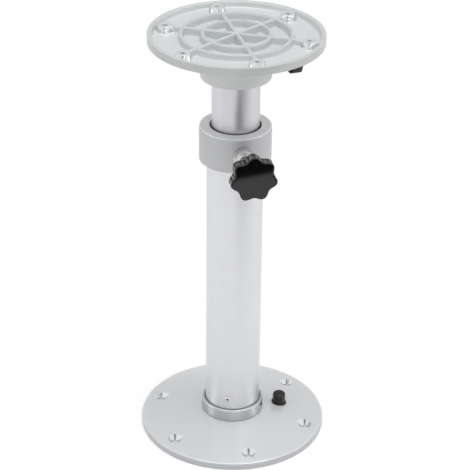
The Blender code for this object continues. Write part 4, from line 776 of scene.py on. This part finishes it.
def byButton(shape):
    # From the button's own place, local x pointing outwards, to its place in the base
    return moved(turnedBy(shape, buttonAzimuth), buttonPlace)


def baseTop(radius):
    s = baseSizes
    return s.height - (radius - s.face) * (s.height - s.edge) / (s.radius - s.face)


def baseWeb(start, end, bottom, width, azimuth, side=0.0):
    # An upright rib: a four-cornered outline (outwards, up) with its top buried in the cone's wall
    low = baseSizes.wall / 2
    outline = [(start, bottom), (end, bottom), (end, baseTop(end) - low), (start, baseTop(start) - low)]
    points, faces = prism(outline, -width / 2, width / 2)
    x, z, y = points.T
    return turnedBy((np.column_stack([x, y + side, z]), faces), azimuth)


def baseScrewPlaces():
    s = baseSizes
    return spreadRound(s.screwCircle, s.screwAzimuth, s.screws)


def basePlate():
    s = baseSizes
    rim, lip = s.radius - s.rimWidth, s.socket - s.lipWidth
    corners = [
        (s.hubBore, s.height, 0.3), (s.face + s.faceOver, s.height, s.faceRound),
        (s.radius, s.edge, s.edgeRound), (s.radius, 0.0, 0.3), (rim, 0.0, 0.5),
        (rim, baseTop(rim) - s.wall, 1.5), (s.hub, baseTop(s.hub) - s.wall, 1.5),
        (s.hub, 0.0, 0.4), (lip, 0.0, 0.3), (lip, s.lipHeight, 0.3), (s.socket, s.lipHeight),
        (s.socket, s.ledge), (s.hubBore, s.ledge),
    ]
    surface, below = baseTop(s.screwCircle), -s.over
    hole = lathe([
        (0, surface + s.over), (s.sink + s.over, surface + s.over), (s.sink, surface, 0.5),
        (s.hole, surface - (s.sink - s.hole), 0.2), (s.hole, below), (0, below),
    ], 64, 4, solid=True)
    bossTop = baseTop(s.screwCircle + s.boss) - s.wall / 2
    ribEnd = s.screwCircle - s.boss / 2
    joins, holes = [], []
    for k, place in enumerate(baseScrewPlaces()):
        azimuth = s.screwAzimuth + k * fullTurn / s.screws
        joins.append(moved(rod(s.boss, 0.0, bossTop), place))
        joins.append(baseWeb(s.ribStart, ribEnd, s.ribLift, s.ribWidth, azimuth))
        holes.append(moved(hole, place))
    addPiece(
        "basePlate", lathe(corners, 192, 6, longest=6), "basePaint", "stand",
        ["base_plate"], joins=joins + latchHousing(), cuts=[together(holes)] + latchCuts(), sharp=30,
        linings=[("baseEdgeShade", onShadedBaseEdge), ("countersink", inCountersink)],
    )


# The base's outer edge, which gets the darker copy of the paint as painted shade
def onShadedBaseEdge(middles):
    return fromAxis(middles) > baseSizes.radius - baseSizes.edgeBand


def inCountersink(middles):
    # Inside a screw's cone or hole, below the sloping surface
    s, height = baseSizes, middles[:, 2] / mm
    inside = fromNearest(middles, baseScrewPlaces()) < s.sinkReach
    return inside & (height < baseTop(fromAxis(middles)) - s.sinkDepth) & (height > s.sinkFloor)


latchSizes = Sizes(
    housing=12.5, boltTop=7.9, boltBottom=2.9, guideRadius=9.5, guideSeat=10.5, gap=0.3,
    railStart=43.325, coverStart=48.0, coverLength=34.0, rail=3.0, railSide=7.95,
    screwSide=12.5, pillar=3.5, screwBore=(1.7, 0.0, 8.6, 24), over=4, stemBore=3.8,
    overlap=0.05, bladeSlot=(-5.7, 0.0, 2.3), bladeSkin=0.01,
    boltSlot=(34.3, 46.5, 6.3), boltSlotLow=2.01, boltGap=0.31,
)


def coverScrewPlace(side):
    s = latchSizes
    middle = s.coverStart + s.coverLength / 2
    return around(middle, buttonAzimuth) + around(side * s.screwSide, buttonAzimuth + math.pi / 2)


def latchHousing():
    s = latchSizes
    top = baseTop(buttonCircle + s.housing) - baseSizes.wall / 2
    end = s.coverStart + s.coverLength
    shapes = [moved(rod(s.housing, s.boltTop + s.gap, top), buttonPlace)]
    for side in (-1, 1):
        aside = side * s.railSide
        shapes.append(baseWeb(s.railStart, end, s.boltBottom, s.rail, buttonAzimuth, aside))
        shapes.append(moved(rod(s.pillar, s.boltBottom + s.gap, top, 32), coverScrewPlace(side)))
    return shapes


def latchCuts():
    # The guide's bore, the stem's bore, slots for the blade and the bolt, and the cover's screw holes
    s = latchSizes
    over = baseTop(buttonCircle) + s.over
    stemBore = rod(s.stemBore, s.boltTop - s.overlap, s.guideSeat + s.overlap, 32)
    near, far, half = s.bladeSlot
    bladeSlot = bar((near, -half, s.boltTop + s.bladeSkin), (far, half, s.guideSeat + s.gap))
    near, far, half = s.boltSlot
    boltSlot = bar((near, -half, s.boltSlotLow), (far, half, s.boltTop + s.boltGap))
    return [
        moved(rod(s.guideRadius + s.gap, s.guideSeat, over, 64), buttonPlace),
        moved(stemBore, buttonPlace), byButton(bladeSlot), turnedBy(boltSlot, buttonAzimuth),
        together([moved(rod(*s.screwBore), coverScrewPlace(side)) for side in (-1, 1)]),
    ]


ringSizes = Sizes(
    # (radius, height)
    profile=[
        (35.7, 35.5, 1.0), (39.5, 35.5, 2.0), (39.5, 19.3, 0.3), (38.0, 19.3), (38.0, 9.0),
        (35.7, 9.0, 0.3),
    ],
    screwBore=(2.3, 31, 45, 24), screwAzimuth=math.radians(-17), screwHeight=28.8,
)


def socketRing():
    s = ringSizes
    addPiece(
        "socketRing", lathe(s.profile, 144, 6), "turnedAluminium", "stand",
        ["socket_ring"], cuts=[crossBore(s.screwBore, s.screwAzimuth, s.screwHeight)],
    )


basePlate()
socketRing()
print("base made")


# The release button and its guide

buttonSizes = Sizes(
    guideBore=8.6, guide=9.5, guideLow=10.8, guideRise=2.1, rise=15.2, cap=8.3,
    capBore=6.8, capLow=15.6, capThickness=3.5, crown=0.9, crownRound=2.4,
    stem=3.5, stemLow=12.4, stemDrop=2.0,
    bladeFace=2.7, bladeTop=12.7, bladeLow=6.0, bladeWidth=2.4, bladeHalf=2.0,
)


def releaseButton():
    # The guide's rim is tilted to keep its height above the cone: z' = z - slope * outward distance
    s, b = buttonSizes, baseSizes
    slope = (b.height - b.edge) / (b.radius - b.face)
    surface = baseTop(buttonCircle)
    rim = surface + s.guideRise
    points, faces = lathe([
        (s.guideBore, rim, 0.3), (s.guide, rim, 0.6), (s.guide, s.guideLow),
        (s.guideBore, s.guideLow),
    ], 64, 4)
    points[:, 2] -= np.where(points[:, 2] > surface, slope * points[:, 0], 0.0)
    addPiece(
        "buttonGuide", byButton((points, faces)), "blackMoulding", "stand",
        ["button_guide"],
    )
    top = surface + s.rise
    cap = lathe([
        (0, top - s.capThickness), (s.capBore, top - s.capThickness), (s.capBore, s.capLow),
        (s.cap, s.capLow, 0.2), (s.cap, top - s.crown, s.crownRound), (0, top),
    ], 64, 8, solid=True)
    stem = moved(rod(s.stem, s.stemLow, top - s.stemDrop, 32), buttonPlace)
    addPiece(
        "releaseButton", moved(cap, buttonPlace), "blackMoulding", "button",
        ["release_button"], joins=[stem, bladeShape()],
    )


def bladeShape():
    # The slanted blade that draws the bolt back: a four-cornered outline (outwards, up), made thick
    s = buttonSizes
    face, wide, top = s.bladeFace, s.bladeWidth, s.bladeTop
    low = face - (top - s.bladeLow)
    outline = [(low, s.bladeLow), (face, top), (face - wide, top), (low - wide, s.bladeLow)]
    points, faces = prism(outline, -s.bladeHalf, s.bladeHalf)
    x, z, y = points.T
    return byButton((np.column_stack([x, y, z]), faces))


springSizes = Sizes(
    coil=5.15, wire=0.55, foot=10.876, head=27.511, turns=5, perTurn=40, sides=12, press=4.5,
)


def buttonSpring():
    # A round wire on a helix: (R cos a, R sin a, pitch a) + w cos b outwards + w sin b square to the wire
    s = springSizes
    pitch = (s.head - s.foot - 2 * s.wire) / (s.turns * fullTurn)
    rise = pitch / math.hypot(s.coil, pitch)
    a = np.linspace(0, s.turns * fullTurn, s.turns * s.perTurn + 1)[:, None]
    b = np.arange(s.sides)[::-1] * fullTurn / s.sides
    outward, square = s.coil + s.wire * np.cos(b), s.wire * np.sin(b)
    x = outward * np.cos(a) + square * rise * np.sin(a)
    y = outward * np.sin(a) - square * rise * np.cos(a)
    z = s.foot + s.wire + pitch * a + square * math.sqrt(1 - rise * rise)
    spring = addPiece(
        "buttonSpring", moved(capped(np.stack([x, y, z], axis=2)), buttonPlace), "brightSteel",
        "stand", ["button_spring"], sharp=50,
    )
    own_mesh(spring)


releaseButton()
buttonSpring()
print("button made")


# Screws that show

def hexagon(acrossCorners):
    turn = np.arange(6) * fullTurn / 6
    return acrossCorners / 2 * np.column_stack([np.cos(turn), np.sin(turn)])


footScrewSizes = Sizes(
    # (radius, distance out from the leg's axis): a domed head with a round socket, and its shank
    profile=[
        (0, 34.6), (1.3, 34.6, 0.2), (1.35, 36.6, 0.15), (2.6, 36.4, 1.0), (3.8, 35.8, 0.25), (3.8, 35.3),
        (2.0, 35.3), (2.0, 27.8), (0, 27.8),
    ],
    # How far from the screw's axis the painted shade inside the socket reaches
    socket=1.34,
)


def footScrews():
    # The sockets are painted dark inside, as painted shade in the recess
    s, height = footScrewSizes, legSizes.footScrewHeight
    for k, azimuth in enumerate(footScrewAzimuths, 1):
        sideways = around(1.0, azimuth + math.pi / 2)

        def inShadedSocket(middles, sideways=sideways):
            return np.hypot(middles @ sideways, middles[:, 2] - height * mm) < s.socket * mm

        addPiece(
            f"footScrew{k}", outwards(lathe(s.profile, 48, 4, solid=True), azimuth, height),
            "satinSteel", "stand", [f"foot_screw_{k}"],
            linings=[("darkSteel", inShadedSocket)],
        )


# For each kind of grub screw: radius, inner end, outer end, then its point's radius and length
grubSizes = Sizes(
    ring=(2.0, 35.3, 40.3), collar=(2.5, 35.3, 42.3), retainer=(3.0, 27.2, 41.5, 2.5, 3.8),
    socketAcross=1.1, socketDepth=0.8, bevel=0.15,  # shares of the radius
)


def grubScrew(name, node, body, kind, azimuth, height):
    # A headless screw with a bevelled end and a hexagon socket
    s = grubSizes
    radius, start, end, tip, tipLength = (*getattr(s, kind), 0.0, 0.0)[:5]
    corners = [(0, end), (radius, end, radius * s.bevel), (radius, start + tipLength, 0.1)]
    if tip:
        corners += [(tip, start + tipLength), (tip, start, 0.3)]
    screw = lathe(corners + [(0, start)], 36, 3, solid=True)
    socket = prism(hexagon(radius * s.socketAcross), end - radius * s.socketDepth, end + 1)
    addPiece(
        name, outwards(screw, azimuth, height), "darkSteel", body, [node],
        cuts=[outwards(socket, azimuth, height)],
    )


footScrews()
azimuth, height = ringSizes.screwAzimuth, ringSizes.screwHeight
grubScrew("ringScrew", "ring_grub_screw", "stand", "ring", azimuth, height)
for k, azimuth in enumerate(collarScrewAzimuths, 1):
    height = legSizes.collarScrewHeight
    grubScrew(f"collarScrew{k}", f"collar_grub_screw_{k}", "stand", "collar", azimuth, height)
for k, azimuth in enumerate(retainerAzimuths, 1):
    height = plateSizes.retainerHeight
    grubScrew(f"retainer{k}", f"retaining_screw_{k}", "table_plate", "retainer", azimuth, height)
print("screws made")


# The lock lever: its grip, its arm with the cam, and the screw it turns on

leverSizes = Sizes(
    direction=math.radians(-69.3), start=14.0, length=35.4, bottom=519.5, top=532.7,
    bottomWidth=15.0, topWidth=21.2, sideRound=1.6, round=1.4, spacing=1.5,
    pocketLow=(12.0, -6.3, 523.7), pocketHigh=(44.3, 6.3, 529.3),
    armHalf=6.0, armTip=44.0, armTipStart=41.0, armRound=2.5, armLow=524.0, armHigh=529.0,
    camRadius=6.5, camThrow=1.5, camAzimuth=math.radians(250), pivotBore=(4.3, 520, 533),
    edgeWidth=0.4, edgeAngle=math.radians(50),
)


def byPivot(shape):
    # From the lever's own place, local x along its arm, to its place under the table plate
    return moved(turnedBy(shape, leverSizes.direction), pivotPlace)


def leverGrip():
    # The section is a rounded trapezium (sideways, up), drawn in along a quarter circle near both ends
    s = leverSizes
    low, high = (s.bottomWidth / 2, s.bottom), (s.topWidth / 2, s.top)
    corners = [(*low, s.sideRound), (*high, s.sideRound)]
    corners += [(-across, height, bend) for across, height, bend in corners[::-1]]
    section = splitLong(filletLine(corners, 6), s.spacing, True)
    middle = np.array([0.0, (s.bottom + s.top) / 2])
    arc = np.linspace(0, math.pi / 2, 6)
    inset, place = s.round * (1 - np.sin(arc)), s.round * (1 - np.cos(arc))
    inset = np.concatenate([inset, inset[::-1]])
    place = np.concatenate([place, s.length - place[::-1]])
    spoke = section - middle
    half = np.abs(spoke).max(axis=0)
    rows = middle + spoke[None] * (1 - inset[:, None, None] / half)
    along = np.broadcast_to((s.start + place)[:, None], rows.shape[:2])
    shape = capped(np.stack([along, rows[:, :, 0], rows[:, :, 1]], axis=2))
    addPiece(
        "leverGrip", byPivot(shape), "blackMoulding", "lever", ["lever_grip"],
        cuts=[byPivot(bar(s.pocketLow, s.pocketHigh))],
    )


def leverArm():
    # A cam's circle about a point off the pivot, then straight sides out to a blunt end
    s = leverSizes
    offset = s.camThrow * np.array([math.cos(s.camAzimuth), math.sin(s.camAzimuth)])
    last = fullTurn - math.asin((s.armHalf + offset[1]) / s.camRadius)
    turn = np.linspace(math.pi / 2, last, 40)
    cam = offset + s.camRadius * np.column_stack([np.cos(turn), np.sin(turn)])
    end = filletLine([
        (s.armTipStart, -s.armHalf), (s.armTip, -s.armHalf, s.armRound),
        (s.armTip, s.armHalf, s.armRound), (s.armTipStart, s.armHalf),
    ], 6)
    piece = addPiece(
        "leverArm", byPivot(prism(np.vstack([cam, end]), s.armLow, s.armHigh)),
        "brightSteel", "lever", ["lever_arm"],
        cuts=[moved(rod(*s.pivotBore), pivotPlace)],
    )
    edges = piece.modifiers.new("edges", "BEVEL")
    edges.width = s.edgeWidth * mm
    edges.segments = 2
    edges.limit_method = "ANGLE"
    edges.angle_limit = s.edgeAngle


pivotScrewSizes = Sizes(
    # A thread, a shoulder that the lever turns on and a rounded head, as (radius, height)
    profile=[
        (0, 535.4), (2.5, 535.4, 0.3), (2.5, 529.1), (4.0, 529.1, 0.2), (4.0, 523.7), (7.2, 523.7, 0.2),
        (7.2, 520.3, 1.2), (0, 520.3),
    ],
    socketAcross=5.0, socket=(519.0, 522.0),
)


def pivotScrew():
    s = pivotScrewSizes
    addPiece(
        "pivotScrew", moved(lathe(s.profile, 64, 4, solid=True), pivotPlace), "brightSteel",
        "table_plate", ["lever_pivot_screw"],
        cuts=[moved(prism(hexagon(s.socketAcross), *s.socket), pivotPlace)],
    )


leverGrip()
leverArm()
pivotScrew()
print("lever made")


# The solids that keep their CAD shape get these finishes

plainNodes = {
    "anodised": ["latch_cover"],
    "turnedAluminium": ["foot_plug", "top_spindle"],
    "brightSteel": ["latch_cover_screw_1", "latch_cover_screw_2", "clamp_stud", "spindle_pin"],
    "blackNylon": ["inner_guide", "swivel_bush"],
    "whiteAcetal": ["latch_bolt", "pressure_pad", "thrust_washer", "brake_shoe"],
}
for finishName, nodeNames in plainNodes.items():
    for nodeName in nodeNames:
        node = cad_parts[nodeName]
        node.data.materials.clear()
        node.data.materials.append(materials[finishName])
print("plain solids finished")


# Floor, world and lamps

studio = Sizes(
    floorWidth=12.0, floorColour=0.80, floorGlow=0.30, farGlow=0.64, glowStart=0.9,
    glowEnd=3.2, whiteEdge=-0.846, edgeBlur=0.007, darkSide=0.17, sideBlur=0.17,
    darkFloor=0.01, worldLight=0.50, worldSeen=1.0, aimAt=(0, 0, 0.3),
)
lamps = {
    # (place, size, watts)
    "topBox": ((0.1, -0.2, 2.4), 1.8, 30.0),
    "leftBox": ((-2.0, -0.25, 0.6), 0.5, 4.0),
    "rightBox": ((2.0, -0.25, 0.6), 0.5, 4.5),
    "frontBox": ((0.3, -2.4, 0.9), 1.5, 7.0),
}
flags = {
    # (place, size, grey)
    "backFlag": ((0.0, 2.6, 2.1), (5.0, 2.4), 0.55),
    "frontFlag": ((0.0, -2.0, 1.9), (1.5, 2.8), 0.15),
}


def addAimed(name, data, place, front):
    # A new object at place, with its front turned to the middle of the pedestal
    made = bpy.data.objects.new(name, data)
    bpy.context.scene.collection.objects.link(made)
    made.location = place
    aim = Vector(studio.aimAt) - Vector(place)
    made.rotation_euler = aim.to_track_quat(front, "Y").to_euler()
    return made


def addLamp(name, place, size, watts):
    data = bpy.data.lights.new(name, "AREA")
    data.shape = "SQUARE"
    data.size = size
    data.energy = watts
    addAimed(name, data, place, "-Z")


def sheetShape(wide, tall):
    # A flat rectangle about the origin: its corners and its one face
    corners = np.array([[-wide, -tall, 0], [wide, -tall, 0], [wide, tall, 0], [-wide, tall, 0]]) / 2
    return corners, [[0, 1, 2, 3]]


def emptyMaterial(name):
    made = bpy.data.materials.new(name)
    made.use_nodes = True
    made.node_tree.nodes.clear()
    return made


def addFlag(name, place, size, grey):
    # A grey card seen only in reflections
    corners, faces = sheetShape(*size)
    data = bpy.data.meshes.new(name)
    data.from_pydata(corners.tolist(), [], faces)
    flag = addAimed(name, data, place, "Z")
    card = emptyMaterial(name)
    glow = addNode(card.node_tree, "Emission", {"Strength": grey})
    addNode(card.node_tree, "OutputMaterial", {"Surface": glow.outputs[0]})
    data.materials.append(card)
    flag.visible_camera = flag.visible_diffuse = flag.visible_shadow = flag.visible_transmission = False


def seenRays(tree):
    # 1 for camera, mirror and see-through rays, 0 for the rays that carry light;
    # the socket that tells the mirror rays comes with it
    rays = addNode(tree, "LightPath", {}).outputs
    first = mathNode(tree, "MAXIMUM", rays["Is Camera Ray"], rays["Is Glossy Ray"])
    return mathNode(tree, "MAXIMUM", first, rays["Is Transmission Ray"]), rays["Is Glossy Ray"]


def addWorld(look):
    world = bpy.data.worlds.new("studioWorld")
    bpy.context.scene.world = world
    world.use_nodes = True
    tree = world.node_tree
    strength = rangeNode(tree, seenRays(tree)[0], end=(look.worldLight, look.worldSeen))
    feed(tree, tree.nodes["Background"], {"Color": (1, 1, 1, 1), "Strength": strength})


def floorFinish(look):
    made = emptyMaterial("floorFinish")
    tree = made.node_tree
    seen, when = seenRays(tree)
    place = addNode(tree, "TexCoord", {}).outputs["Object"]
    # The glow grows with the distance from the object, as the lamps reach less far
    away = addNode(tree, "VectorMath", {0: place})
    away.operation = "LENGTH"
    span, glows = (look.glowStart, look.glowEnd), (look.floorGlow, look.farGlow)
    growth = rangeNode(tree, away.outputs["Value"], span, glows)
    glow = addNode(tree, "Emission", {"Strength": mathNode(tree, "MULTIPLY", seen, growth)})
    paint = addNode(tree, "BsdfDiffuse", {"Color": (look.floorColour,) * 3 + (1,)})
    both = addNode(tree, "AddShader", {0: paint.outputs[0], 1: glow.outputs[0]})
    # Mirror rays find the end of the white sweep in front of the object, as in the studio
    dark = addNode(tree, "Emission", {"Strength": look.darkFloor})
    apart = addNode(tree, "SeparateXYZ", {"Vector": place}).outputs
    limits = {
        "Y": (look.whiteEdge + look.edgeBlur, look.whiteEdge - look.edgeBlur),
        "X": (look.darkSide - look.sideBlur, look.darkSide + look.sideBlur),
    }
    for axis, limit in limits.items():
        past = rangeNode(tree, apart[axis], limit, kind="SMOOTHSTEP")
        when = mathNode(tree, "MULTIPLY", past, when)
    mixed = addNode(tree, "MixShader", {"Fac": when, 1: both.outputs[0], 2: dark.outputs[0]})
    addNode(tree, "OutputMaterial", {"Surface": mixed.outputs[0]})
    return made


def addFloor(look):
    floor = meshObject("floor", sheetShape(look.floorWidth / mm, look.floorWidth / mm))
    floor.data.materials.append(floorFinish(look))


addFloor(studio)
addWorld(studio)
for name, look in lamps.items():
    addLamp(name, *look)
for name, look in flags.items():
    addFlag(name, *look)
bpy.context.scene.view_settings.view_transform = "Standard"
print("studio set")
